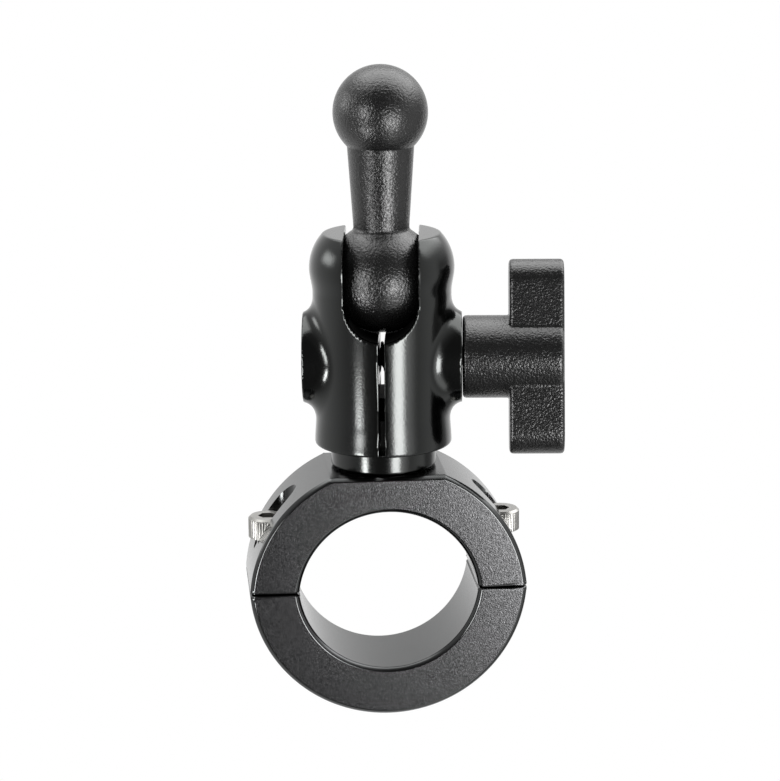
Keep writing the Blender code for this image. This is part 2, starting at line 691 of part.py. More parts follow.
def build_knob(arm):
    """Wing knob on the screw's root, with its origin on the screw's axis."""
    axis = empty("knob_axis", (0, 0, SCREW_Z), (KNOB_TURN, 0, 0), arm)
    middle = (KNOB_END - WING_LENGTH / 2, 0, 0)
    knob = plate("wing_knob", wing_outline(), WING_LENGTH, axis, middle, ALONG_X)
    bevel(knob, KNOB_EDGE)

    end = KNOB_END - HUB_END_STEP
    edge = KNOB_EDGE
    inner = HUB_RADIUS - edge
    profile = [(0, end), (inner, end), (HUB_RADIUS, end - edge)]
    profile += arc((inner, HUB_FACE + edge), edge, 0, -pi / 2, EDGE_STEPS)
    profile += [(0, HUB_FACE)]
    hub = as_cutter(turned("knob_hub", profile, axis, rotation=ALONG_X))
    boolean(knob, hub, 'UNION')

    root_end = HUB_FACE + 2 * FIT_GAP + SCREW_ROOT_LENGTH
    socket = rod(SCREW_ROOT_RADIUS + FIT_GAP, HUB_FACE - OVERSHOOT, root_end)
    boolean(knob, as_cutter(turned("knob_socket", socket, axis, rotation=ALONG_X, steps=SMALL_STEPS)))
    finish(knob, GRAINED_PLASTIC)


def build():
    upper = build_clamp()
    build_post(upper)
    arm = empty("arm_swivel_axis", rotation=(0, 0, ARM_TURN))
    build_jaws(arm)
    build_stud(arm)
    build_knob_screw(arm)
    build_spring(arm)
    build_knob(arm)


build()
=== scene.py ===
"""Looks of a handlebar phone mount: split-ring clamp, jaw arm, wing knob and ball stud.

Metres, +Z up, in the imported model's own frame. Pieces on the arm are modelled square to the arm
and then turned with it, and every finished piece keeps its place in its mesh.
"""

import json
import logging
from dataclasses import dataclass
from enum import Enum
from functools import lru_cache
from math import atan2, cos, hypot, pi, radians, sin, sqrt
from typing import Any, Callable, Sequence

import bpy
import numpy as np
from bpy.types import Material, MeshPolygon, Node, NodeSocket, NodeTree, Object
from mathutils import Matrix, Vector


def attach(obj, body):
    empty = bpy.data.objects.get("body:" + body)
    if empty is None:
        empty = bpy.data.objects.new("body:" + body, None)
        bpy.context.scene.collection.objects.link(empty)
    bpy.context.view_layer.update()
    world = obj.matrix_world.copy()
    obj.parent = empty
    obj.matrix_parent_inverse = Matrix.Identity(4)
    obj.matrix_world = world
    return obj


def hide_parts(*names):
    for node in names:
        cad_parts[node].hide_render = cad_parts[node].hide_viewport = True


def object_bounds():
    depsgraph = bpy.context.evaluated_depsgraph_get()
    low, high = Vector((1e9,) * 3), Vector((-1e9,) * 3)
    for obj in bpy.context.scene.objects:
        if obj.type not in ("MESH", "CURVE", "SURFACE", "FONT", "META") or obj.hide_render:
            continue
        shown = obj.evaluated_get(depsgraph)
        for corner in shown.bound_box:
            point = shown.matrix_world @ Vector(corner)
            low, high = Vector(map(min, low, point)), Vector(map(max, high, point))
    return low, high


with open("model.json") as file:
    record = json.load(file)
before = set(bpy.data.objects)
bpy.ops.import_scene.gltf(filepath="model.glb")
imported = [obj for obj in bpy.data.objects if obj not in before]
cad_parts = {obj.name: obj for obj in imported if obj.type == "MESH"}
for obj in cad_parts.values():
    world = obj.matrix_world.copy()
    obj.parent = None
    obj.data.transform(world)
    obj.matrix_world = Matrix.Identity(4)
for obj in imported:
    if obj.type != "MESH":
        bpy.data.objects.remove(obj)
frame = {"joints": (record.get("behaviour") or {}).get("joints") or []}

CAD_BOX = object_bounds()
LOG = logging.getLogger("phone_mount")

Point = tuple[float, float]
Outline = Sequence[Point]
Window = tuple[float, float, float]

MM = 0.001
WELD = 0.001 * MM                   # points closer than this are one
REAL_EDGE = radians(28.0)           # an edge sharper than this is a real one, not a facet
CUT_PAST = 2.0 * MM                 # how far a cutting tool runs past the face it opens
FIT_GAP = 0.3 * MM                  # between pieces that touch
SOFTEN = 0.5                        # share of the way to its neighbours' middle, in each pass

# A metric thread's ridge, in shares of its pitch
THREAD_DEPTH = 0.6134
RIDGE_SUNK = 0.125                  # how far its foot lies inside the core
RIDGE_FOOT = 0.03                   # where its foot starts
RIDGE_CREST = 0.44                  # where its crest starts

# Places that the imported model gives
JOINTS = {joint["name"]: joint for joint in frame["joints"]}
ARM_AXIS = Vector(JOINTS["jaw_open"]["axis"])
ARM_TURN = Matrix.Rotation(atan2(ARM_AXIS.y, ARM_AXIS.x), 4, 'Z')
COLLAR_TOP = JOINTS["arm_swivel"]["pos_m"][2]
SCREW_Z = JOINTS["knob_turn"]["pos_m"][2]
BALL_Z = JOINTS["stud_tilt"]["pos_m"][2]
BOLT_X = JOINTS["right_bolt_turn"]["pos_m"][0]
BOLT_SEAT_Z = JOINTS["right_bolt_turn"]["pos_m"][2]
ALONG_X = Matrix.Rotation(pi / 2, 4, 'Y')
ALONG_Y = Matrix.Rotation(pi / 2, 4, 'X')
TO_SCREW = (ALONG_X, Matrix.Translation((0.0, 0.0, SCREW_Z)))


def linear(code: str) -> tuple[float, float, float, float]:
    """Turns an sRGB hex colour to linear light.

    Args:
        code: Colour as "#RRGGBB".

    Returns:
        Linear red, green and blue with full alpha.
    """
    shares = [int(code[i:i + 2], 16) / 255 for i in (1, 3, 5)]
    red, green, blue = (
        s / 12.92 if s <= 0.04045 else ((s + 0.055) / 1.055) ** 2.4 for s in shares
    )
    return red, green, blue, 1.0


def add_node(
    tree: NodeTree,
    kind: str,
    links: dict[Any, NodeSocket] | None = None,
    values: dict[Any, Any] | None = None,
    **options: Any,
) -> Node:
    """Adds one node with its options, fixed values and links.

    Args:
        tree: Node tree that gets the node.
        kind: Type name of the node.
        links: Output socket that feeds each linked input, by the input's name or number.
        values: Fixed value of other inputs, by name or number.
        options: Settings of the node itself.

    Returns:
        The new node.
    """
    made = tree.nodes.new(kind)
    for option, value in options.items():
        setattr(made, option, value)
    for key, value in (values or {}).items():
        made.inputs[key].default_value = value
    for key, socket in (links or {}).items():
        tree.links.new(socket, made.inputs[key])
    return made


class Relief(Enum):
    """How a surface came by its fine relief."""

    BLASTED = "blasted with grit"
    TURNED = "turned on a lathe about Y"
    PEEL = "polished and dyed, with a faint peel"
    LEATHER = "moulded in a leather-grained tool"
    SPARKED = "moulded in a spark-eroded tool"
    PLATED = "drawn and plated"


# Texture node, its output and its settings for each kind of relief
NOISE, WAVE = "ShaderNodeTexNoise", "ShaderNodeTexWave"
RELIEF_NODES = {
    Relief.BLASTED: (NOISE, 0, {"Detail": 2.0, "Roughness": 0.65}, {}),
    Relief.TURNED: (WAVE, 1, {"Distortion": 1.2, "Detail": 2.0}, {"bands_direction": 'Y'}),
    Relief.PEEL: (NOISE, 0, {"Detail": 1.0, "Roughness": 0.5}, {}),
    Relief.LEATHER: (NOISE, 0, {"Detail": 2.0, "Roughness": 0.55, "Distortion": 0.5}, {}),
    Relief.SPARKED: (NOISE, 0, {"Detail": 1.5, "Roughness": 0.6}, {}),
    Relief.PLATED: (NOISE, 0, {"Detail": 3.0, "Roughness": 0.5}, {}),
}
CLOUD_DETAIL = 3.0
WAVE_TURN = 2 * pi / 20             # a wave texture of scale 1 repeats over this length


@dataclass(frozen=True)
class Finish:
    """One real material and the process that made its surface.

    Attributes:
        name: Name of the material and its process.
        relief: Kind of fine relief.
        dark: Darker tone of the colour, sRGB hex.
        light: Lighter tone of the colour, sRGB hex.
        metallic: 1 for a metal, 0 for a plastic.
        smoothest: Roughness at one end of the relief.
        roughest: Roughness at the other end.
        grain_mm: Width of one grain, or the pitch of turning lines.
        depth_mm: Depth of the relief.
        cloud_mm: Size of the patches of colour, from slow clouds down to single specks.
        ior: Refractive index; a metal keeps the shader's default.
    """

    name: str
    relief: Relief
    dark: str
    light: str
    metallic: float
    smoothest: float
    roughest: float
    grain_mm: float
    depth_mm: float
    cloud_mm: float = 7.0
    ior: float | None = None

    def grain_scale(self) -> float:
        """Texture scale that draws the grain at its size."""
        length = self.grain_mm * MM
        return WAVE_TURN / length if self.relief is Relief.TURNED else 1 / length


@lru_cache(maxsize=None)
def material_of(finish: Finish) -> Material:
    """Builds the node material of a finish, once.

    Args:
        finish: The finish to build.

    Returns:
        Its material, with colour, roughness and relief from nodes in the piece's own coordinates.
    """
    material = bpy.data.materials.new(finish.name)
    material.use_nodes = True
    tree = material.node_tree
    shader = tree.nodes["Principled BSDF"]
    spot = {"Vector": add_node(tree, "ShaderNodeTexCoord").outputs["Object"]}
    kind, output, values, options = RELIEF_NODES[finish.relief]
    grain = add_node(tree, kind, spot, {"Scale": finish.grain_scale(), **values}, **options)
    height = grain.outputs[output]
    cloud_scale = 1 / (finish.cloud_mm * MM)
    cloud = add_node(tree, NOISE, spot, {"Scale": cloud_scale, "Detail": CLOUD_DETAIL})
    # A mix node's inputs 6 and 7 and its output 2 are its colours
    tones = {6: linear(finish.dark), 7: linear(finish.light)}
    tone = add_node(tree, "ShaderNodeMix", {0: cloud.outputs[0]}, tones, data_type='RGBA')
    ends = {"To Min": finish.smoothest, "To Max": finish.roughest}
    rough = add_node(tree, "ShaderNodeMapRange", {"Value": height}, ends)
    depth = {"Distance": finish.depth_mm * MM}
    bump = add_node(tree, "ShaderNodeBump", {"Height": height}, depth)
    tree.links.new(tone.outputs[2], shader.inputs["Base Color"])
    tree.links.new(rough.outputs["Result"], shader.inputs["Roughness"])
    tree.links.new(bump.outputs["Normal"], shader.inputs["Normal"])
    shader.inputs["Metallic"].default_value = finish.metallic
    if finish.ior is not None:
        shader.inputs["IOR"].default_value = finish.ior
    return material


# Grit leaves overlapping pits, so that light and dark specks cover a soft sheen. They are drawn
# about twice as coarse so that they show.
BLASTED_ANODISED = Finish(
    "blasted_black_anodised_aluminium", Relief.BLASTED, "#020202", "#5E5E5F", metallic=1.0,
    smoothest=0.20, roughest=0.27, grain_mm=0.27, depth_mm=0.026, cloud_mm=0.46,
)
# A fine turned cut under black dye: a clear sheen drawn out a little along the lathe's lines.
TURNED_ANODISED = Finish(
    "turned_black_anodised_aluminium", Relief.TURNED, "#454646", "#4C4D4D", metallic=1.0,
    smoothest=0.10, roughest=0.22, grain_mm=0.42, depth_mm=0.0012,
)
# Polished before it was dyed: deep gloss, with a faint peel that stipples the highlights.
GLOSS_ANODISED = Finish(
    "polished_black_anodised_aluminium", Relief.PEEL, "#383939", "#3C3D3C", metallic=1.0,
    smoothest=0.10, roughest=0.20, grain_mm=0.34, depth_mm=0.010,
)
# Painted shade: the ball's seat, the floor of its opening and the post's head inside the arm are
# coloured a dull dark black in place of the shade that falls inside the arm.
PAINTED_SHADE_ANODISED = Finish(
    "milled_black_anodised_aluminium", Relief.BLASTED, "#161616", "#1E1E1E", metallic=1.0,
    smoothest=0.55, roughest=0.75, grain_mm=0.30, depth_mm=0.04,
)
# Glass-filled nylon from a leather-grained tool: soft speckled highlights over a coarse grain.
GRAINED_NYLON = Finish(
    "leather_grained_black_nylon", Relief.LEATHER, "#0B0B0B", "#121212", metallic=0.0,
    smoothest=0.20, roughest=0.32, grain_mm=0.44, depth_mm=0.115, ior=1.53,
)
# The same nylon from a spark-eroded tool: a finer, drier speckle.
SPARKED_NYLON = Finish(
    "spark_grained_black_nylon", Relief.SPARKED, "#0A0A0A", "#111111", metallic=0.0,
    smoothest=0.20, roughest=0.32, grain_mm=0.40, depth_mm=0.115, ior=1.53,
)
# Zinc over drawn wire: bright, slightly cloudy metal.
ZINC_STEEL = Finish(
    "zinc_plated_steel", Relief.PLATED, "#868582", "#A3A29F", metallic=1.0,
    smoothest=0.28, roughest=0.42, grain_mm=0.5, depth_mm=0.004, cloud_mm=2.0,
)
# Oiled black oxide: dark metal with a dull gleam.
OXIDE_STEEL = Finish(
    "black_oxide_steel", Relief.PLATED, "#242424", "#343433", metallic=1.0,
    smoothest=0.28, roughest=0.45, grain_mm=0.4, depth_mm=0.006, cloud_mm=2.0,
)


def begin(name: str) -> Object:
    """Starts a piece as one selected vertex at the origin, in edit mode.

    Args:
        name: Name of the piece.

    Returns:
        The new object.
    """
    bpy.ops.object.select_all(action='DESELECT')
    bpy.ops.mesh.primitive_plane_add(size=MM)
    piece = bpy.context.object
    piece.name = piece.data.name = name
    bpy.ops.object.mode_set(mode='EDIT')
    bpy.ops.mesh.select_mode(type='VERT')
    bpy.ops.mesh.select_all(action='SELECT')
    bpy.ops.mesh.merge(type='CENTER')
    return piece


def trace(points: Sequence[Vector]) -> None:
    """Draws a chain of edges by extruding the selected vertex from point to point, and selects it.

    Args:
        points: Points of the chain; the vertex is moved to the first.
    """
    bpy.ops.transform.translate(value=points[0])
    for here, there in zip(points, points[1:]):
        bpy.ops.mesh.extrude_region_move(TRANSFORM_OT_translate={"value": there - here})
    bpy.ops.mesh.select_all(action='SELECT')


def weld_and_face_out() -> None:
    """Merges doubles, turns every face outwards and leaves edit mode."""
    bpy.ops.mesh.select_all(action='SELECT')
    bpy.ops.mesh.remove_doubles(threshold=WELD)
    bpy.ops.mesh.normals_make_consistent(inside=False)
    bpy.ops.object.mode_set(mode='OBJECT')


def select_only(piece: Object) -> None:
    """Leaves one object selected and active.

    Args:
        piece: The object.
    """
    bpy.ops.object.select_all(action='DESELECT')
    piece.select_set(True)
    bpy.context.view_layer.objects.active = piece


def arc(centre: Point, radius: float, start: float, end: float, steps: int) -> list[Point]:
    """Points along an arc, both ends included.

    Args:
        centre: Centre of the arc.
        radius: Its radius.
        start: First angle, in radians from the first axis.
        end: Last angle.
        steps: Number of equal steps.

    Returns:
        The points in order.
    """
    angles = [start + (end - start) * i / steps for i in range(steps + 1)]
    return [(centre[0] + radius * cos(a), centre[1] + radius * sin(a)) for a in angles]


def hexagon(flats: float) -> list[Point]:
    """Corners of a hexagon by its size across flats."""
    return arc((0.0, 0.0), flats / sqrt(3), 0.0, 2 * pi, 6)[:-1]


def stepped(top: float, *steps: Point) -> list[Point]:
    """Half section of a rod with steps.

    Args:
        top: Height of its upper end.
        steps: Radius and lower end of each step, from the top down.

    Returns:
        (radius, height) points of the section.
    """
    section = [(0.0, top)]
    for radius, bottom in steps:
        section += [(radius, section[-1][1]), (radius, bottom)]
    return section + [(0.0, section[-1][1])]


def turned(name: str, profile: Outline, facets: int = 64, bored: bool = False) -> Object:
    """Models a body of revolution about +Z by tracing half its section and spinning it.

    Args:
        name: Name of the piece.
        profile: (radius, height) points of the section.
        facets: Facets round the axis; the default suits a small hole or tool.
        bored: Whether the section is a closed ring that stays clear of the axis.

    Returns:
        The new object.
    """
    piece = begin(name)
    points = [Vector((radius, 0.0, height)) for radius, height in profile]
    trace(points + points[:1] if bored else points)
    bpy.ops.mesh.spin(steps=facets, angle=2 * pi, center=(0.0, 0.0, 0.0), axis=(0.0, 0.0, 1.0))
    weld_and_face_out()
    return piece


def prism(name: str, outline: Outline, low: float, high: float) -> Object:
    """Models a straight body by filling a traced outline and extruding it along +Z.

    Args:
        name: Name of the piece.
        outline: Corners of the outline.
        low: Height of its lower face.
        high: Height of its upper face.

    Returns:
        The new object.
    """
    piece = begin(name)
    points = [Vector((x, y, low)) for x, y in outline]
    trace(points + points[:1])
    bpy.ops.mesh.remove_doubles(threshold=WELD)
    bpy.ops.mesh.select_all(action='SELECT')
    bpy.ops.mesh.edge_face_add()
    bpy.ops.mesh.extrude_region_move(TRANSFORM_OT_translate={"value": (0.0, 0.0, high - low)})
    weld_and_face_out()
    return piece


def apply_modifier(piece: Object, kind: str, **settings: Any) -> None:
    """Adds a modifier and applies it.

    Args:
        piece: Object to change.
        kind: Type of the modifier.
        settings: Its settings.
    """
    modifier = piece.modifiers.new(kind.lower(), kind)
    for setting, value in settings.items():
        setattr(modifier, setting, value)
    select_only(piece)
    bpy.ops.object.modifier_apply(modifier=modifier.name)


def carve(piece: Object, tool: Object, operation: str = 'DIFFERENCE') -> None:
    """Cuts a piece with a tool, or joins the two, and removes the tool.

    Args:
        piece: Object to change.
        tool: Closed mesh to cut or join with.
        operation: Kind of Boolean.
    """
    apply_modifier(piece, 'BOOLEAN', object=tool, operation=operation, solver='MANIFOLD')
    piece.data.materials.clear()
    bpy.data.objects.remove(tool)


def reskin(piece: Object, size: float, passes: int) -> None:
    """Gives a piece one even skin of facets of one size and softens its edges."""
    apply_modifier(piece, 'REMESH', mode='VOXEL', voxel_size=size, adaptivity=0.0)
    apply_modifier(piece, 'SMOOTH', factor=SOFTEN, iterations=passes)


def ease_edges(
    piece: Object,
    width: float,
    segments: int = 2,
    chosen: Callable[[Vector, Vector], bool] | None = None,
) -> None:
    """Bevels a piece's real edges in edit mode.

    Args:
        piece: Object to change.
        width: Width of the bevel on each face.
        segments: Faces across the bevel.
        chosen: Test on an edge's two ends; every sharp edge passes when it is left out.
    """
    select_only(piece)
    bpy.ops.object.mode_set(mode='EDIT')
    bpy.ops.mesh.select_mode(type='EDGE')
    bpy.ops.mesh.select_all(action='DESELECT')
    bpy.ops.mesh.edges_select_sharp(sharpness=REAL_EDGE)
    if chosen is not None:
        bpy.ops.object.mode_set(mode='OBJECT')
        ends = piece.data.vertices
        for edge in piece.data.edges:
            first, last = (ends[i].co for i in edge.vertices)
            edge.select = edge.select and chosen(first, last)
        bpy.ops.object.mode_set(mode='EDIT')
    bpy.ops.mesh.bevel(offset=width, segments=segments, affect='EDGES')
    bpy.ops.object.mode_set(mode='OBJECT')


def place(piece: Object, *moves: Matrix) -> None:
    """Moves a piece's mesh by matrices, first to last, and leaves its object at the origin."""
    for move in moves:
        piece.data.transform(move)


def paint(piece: Object, chosen: Callable[[MeshPolygon], bool]) -> None:
    """Gives the faces that pass a test the second finish and the others the first."""
    for face in piece.data.polygons:
        face.material_index = int(chosen(face))


def helix(name: str, section: Outline, pitch: float, turns: int, facets: int = 28) -> Object:
    """Models a closed bar wound about +Z by sweeping a section along a right-handed helix.

    Args:
        name: Name of the piece.
        section: (radius, height) corners of the bar's section at the foot of the helix.
        pitch: Rise in one turn.
        turns: Number of turns.
        facets: Facets in one turn.

    Returns:
        The new object.
    """
    bar = begin(name)
    points = [Vector((radius, 0.0, height)) for radius, height in section]
    trace(points + points[:1])
    bpy.ops.mesh.remove_doubles(threshold=WELD)
    bpy.ops.object.mode_set(mode='OBJECT')
    apply_modifier(
        bar, 'SCREW', angle=2 * pi, screw_offset=pitch, iterations=turns,
        steps=facets, render_steps=facets,
    )
    bpy.ops.object.mode_set(mode='EDIT')
    bpy.ops.mesh.select_all(action='SELECT')
    bpy.ops.mesh.remove_doubles(threshold=WELD)
    bpy.ops.mesh.fill_holes(sides=0)
    weld_and_face_out()
    return bar


def thread_root(crest: float, pitch: float) -> float:
    """Root radius of a metric thread."""
    return crest - THREAD_DEPTH * pitch


def add_thread(piece: Object, crest: float, pitch: float, low: float, high: float) -> None:
    """Lays the ridge of a metric thread over a core about +Z that has its root radius.

    Args:
        piece: Object with the core, which the ridge joins.
        crest: Outer radius of the thread.
        pitch: Rise in one turn.
        low: Foot of the thread.
        high: Top of the thread.
    """
    foot = thread_root(crest, pitch) - RIDGE_SUNK * pitch
    section = (
        (foot, RIDGE_FOOT), (crest, RIDGE_CREST), (crest, 1 - RIDGE_CREST), (foot, 1 - RIDGE_FOOT),
    )
    corners = [(radius, low + share * pitch) for radius, share in section]
    ridge = helix(piece.name + "_ridge", corners, pitch, int((high - low) / pitch) - 1)
    select_only(piece)
    ridge.select_set(True)
    bpy.ops.object.join()


def finish_piece(piece: Object, body: str, node: str, slot: str, *finishes: Finish) -> None:
    """Shades and dresses a piece, puts it on its body and lets it stand for a node of the frame.

    Args:
        piece: Finished mesh object.
        body: Body that carries it.
        node: Node that it replaces.
        slot: Material slot of the record; not used.
        finishes: Finish of each material index, in order.
    """
    select_only(piece)
    bpy.ops.object.shade_smooth_by_angle(angle=REAL_EDGE)
    apply_modifier(piece, 'WEIGHTED_NORMAL', keep_sharp=True)
    for finish in finishes:
        piece.data.materials.append(material_of(finish))
    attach(piece, body)
    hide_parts(node)
    faces = len(piece.data.polygons)
    LOG.info("%s: %d faces, stands for %s on %s", piece.name, faces, node, body)


@dataclass
class Clamp:
    """Split ring: two halves whose arcs are centred a little past the split."""

    bore_radius: float = 16.4 * MM
    wall: float = 8.9 * MM
    arc_offset: float = 1.7 * MM
    depth: float = 19.5 * MM
    chamfer: float = 0.7 * MM
    chamfer_round: float = 0.14 * MM
    flat_depth: float = 2.2 * MM
    split_gap: float = 0.3 * MM
    split_edge: float = 0.28 * MM
    head_radius: float = 3.5 * MM
    bolt_radius: float = 2.0 * MM
    bolt_length: float = 14.0 * MM
    hole_gap: float = 0.6 * MM
    pocket_inset: float = 1.5 * MM
    pocket_steps: int = 48
    sunk_radius: float = 4.9 * MM
    sunk_floor: float = 15.3 * MM
    screw_hole: float = 2.8 * MM
    facets: int = 300
    face_on: float = 0.999              # least share along the bar of a flat face's normal

    def trim(self, piece: Object, height: float, away: int) -> None:
        """Cuts a piece off level and closes the cut.

        Args:
            piece: Object to change.
            height: Height of the cut.
            away: 1 to remove what lies above it and -1 for what lies below.
        """
        select_only(piece)
        bpy.ops.object.mode_set(mode='EDIT')
        bpy.ops.mesh.select_all(action='SELECT')
        bpy.ops.mesh.bisect(
            plane_co=(0.0, 0.0, height), plane_no=(0.0, 0.0, away), use_fill=True,
            clear_outer=True,
        )
        bpy.ops.object.mode_set(mode='OBJECT')

    def flat(self) -> Object:
        """Models the tool for the flat on top, with the chamfers along its front and back edges.

        Returns:
            Closed cutting tool.
        """
        end, edge = self.depth / 2, self.chamfer
        outer = self.bore_radius + self.wall
        level = outer - self.arc_offset - self.flat_depth
        past = end + CUT_PAST
        low = level - edge - CUT_PAST
        corners = [(edge - end, level), (end - edge, level)]
        outline = [(-past, outer), (-past, low), *corners, (past, low), (past, outer)]
        tool = prism("flat_tool", outline, -outer, outer)
        place(tool, ALONG_Y, Matrix.Rotation(pi / 2, 4, 'Z'))
        return tool

    def half(self, name: str, side: int) -> Object:
        """Models one half with its chamfers, before it is drilled.

        Args:
            name: Name of the piece.
            side: 1 for the upper half, which has the flat, and -1 for the lower.

        Returns:
            The new object.
        """
        end, edge = self.depth / 2, self.chamfer
        bore, outer = self.bore_radius, self.bore_radius + self.wall
        section = [
            (bore + edge, end), (outer - edge, end), (outer, end - edge), (outer, edge - end),
            (outer - edge, -end), (bore + edge, -end), (bore, edge - end), (bore, end - edge),
        ]
        piece = turned(name, section, self.facets, bored=True)
        place(piece, ALONG_Y, Matrix.Translation((0.0, 0.0, -side * self.arc_offset)))
        split = side * self.split_gap / 2
        self.trim(piece, split, -side)
        if side > 0:
            carve(piece, self.flat())

        def along_split(first: Vector, last: Vector) -> bool:
            """Whether an edge lies in the face at the split."""
            return max(abs(first.z - split), abs(last.z - split)) < WELD

        def off_split(first: Vector, last: Vector) -> bool:
            """Whether an edge keeps clear of the eased split."""
            return min(abs(first.z - split), abs(last.z - split)) > self.split_edge + WELD

        ease_edges(piece, self.split_edge, chosen=along_split)
        ease_edges(piece, self.chamfer_round, chosen=off_split)
        return piece

    def pocket(self, side: int) -> Object:
        """Models the tool for the obround pocket of one bolt's head, open to the outside.

        Args:
            side: 1 for the right bolt and -1 for the left.

        Returns:
            Closed cutting tool.
        """
        radius = self.head_radius + FIT_GAP
        inner = BOLT_X - self.pocket_inset
        outer = self.bore_radius + self.wall + CUT_PAST
        outline = arc((inner, 0.0), radius, pi / 2, 3 * pi / 2, self.pocket_steps)
        outline += [(outer, -radius), (outer, radius)]
        tool = prism("pocket_tool", outline, BOLT_SEAT_Z - FIT_GAP, outer)
        place(tool, Matrix.Rotation(0.0 if side > 0 else pi, 4, 'Z'))
        return tool

    def drill(self, piece: Object, x: float, radius: float, low: float, high: float) -> None:
        """Drills an upright hole.

        Args:
            piece: Object to change.
            x: Place of the hole along X.
            radius: Its radius.
            low: Its lower end.
            high: Its upper end.
        """
        tool = turned("drill", stepped(high, (radius, low)))
        place(tool, Matrix.Translation((x, 0.0, 0.0)))
        carve(piece, tool)

    def in_front_or_back(self, face: MeshPolygon) -> bool:
        """Whether a face lies in the flat front or back."""
        return abs(face.normal.y) > self.face_on

    def build(self) -> None:
        """Builds both halves."""
        upper = self.half("ring_upper_half", 1)
        lower = self.half("ring_lower_half", -1)
        tip = BOLT_SEAT_Z - self.bolt_length - FIT_GAP
        for side in (-1, 1):
            x = side * BOLT_X
            carve(upper, self.pocket(side))
            self.drill(upper, x, self.bolt_radius + self.hole_gap, -CUT_PAST, BOLT_SEAT_Z)
            self.drill(lower, x, self.bolt_radius + FIT_GAP, tip, CUT_PAST)
        hole, sunk, floor = self.screw_hole, self.sunk_radius, self.sunk_floor
        seat = [
            (0.0, COLLAR_TOP), (hole, COLLAR_TOP), (hole, floor + sunk - hole),
            (sunk, floor), (sunk, 0.0), (0.0, 0.0),
        ]
        carve(upper, turned("seat_tool", seat))
        for piece, body, node in (
            (upper, "clamp_base", "clamp_upper_half"), (lower, "clamp_cap", "clamp_lower_half"),
        ):
            paint(piece, self.in_front_or_back)
            finish_piece(piece, body, node, "blasted_aluminium", TURNED_ANODISED, BLASTED_ANODISED)


@dataclass
class ClampBolt:
    """M4 socket head bolt with a knurled head."""

    radius: float = 2.0 * MM
    pitch: float = 0.7 * MM
    length: float = 14.0 * MM
    thread_length: float = 12.5 * MM
    head_radius: float = 3.5 * MM
    head_height: float = 4.0 * MM
    head_edge: float = 0.4 * MM
    key: float = 3.0 * MM
    key_depth: float = 2.0 * MM
    knurls: int = 40
    knurl_facets: int = 6
    knurl_depth: float = 0.16 * MM
    knurl_land: float = 0.5 * MM

    def knurl(self, piece: Object) -> None:
        """Presses upright grooves into the head's side.

        Args:
            piece: Turned bolt.
        """
        low, high = self.knurl_land / 2, self.head_height - self.head_edge - WELD
        for vertex in piece.data.vertices:
            x, y, z = vertex.co
            if low < z < high and hypot(x, y) > self.head_radius - WELD:
                wave = (1 - cos(self.knurls * atan2(y, x))) / 2
                share = 1 - self.knurl_depth * wave / self.head_radius
                vertex.co.x *= share
                vertex.co.y *= share

    def model(self, name: str) -> Object:
        """Models one bolt about +Z with the underside of its head at the origin.

        Args:
            name: Name of the piece.

        Returns:
            The new object.
        """
        top, edge, tip = self.head_height, self.head_edge, -self.length
        head, land = self.head_radius, self.knurl_land
        root = thread_root(self.radius, self.pitch)
        foot = tip + self.thread_length
        profile = [
            (0.0, top), (head - edge, top), (head, top - edge), (head, top - edge - land / 4),
            (head, land), (head, land / 4), (head - edge / 2, 0.0), (self.radius, 0.0),
            (self.radius, foot + self.pitch / 2), (root, foot), (root, tip + edge),
            (root - edge, tip), (0.0, tip),
        ]
        bolt = turned(name, profile, self.knurl_facets * self.knurls)
        self.knurl(bolt)
        key = prism("key_tool", hexagon(self.key), top - self.key_depth, top + CUT_PAST)
        carve(bolt, key)
        add_thread(bolt, self.radius, self.pitch, tip + edge, foot + self.pitch)
        return bolt

    def build(self) -> None:
        """Builds both bolts."""
        for label, side in (("left", -1), ("right", 1)):
            bolt = self.model(label + "_socket_bolt")
            place(bolt, Matrix.Translation((side * BOLT_X, 0.0, BOLT_SEAT_Z)))
            finish_piece(bolt, label + "_bolt", "clamp_bolt_" + label, "bright_steel", ZINC_STEEL)


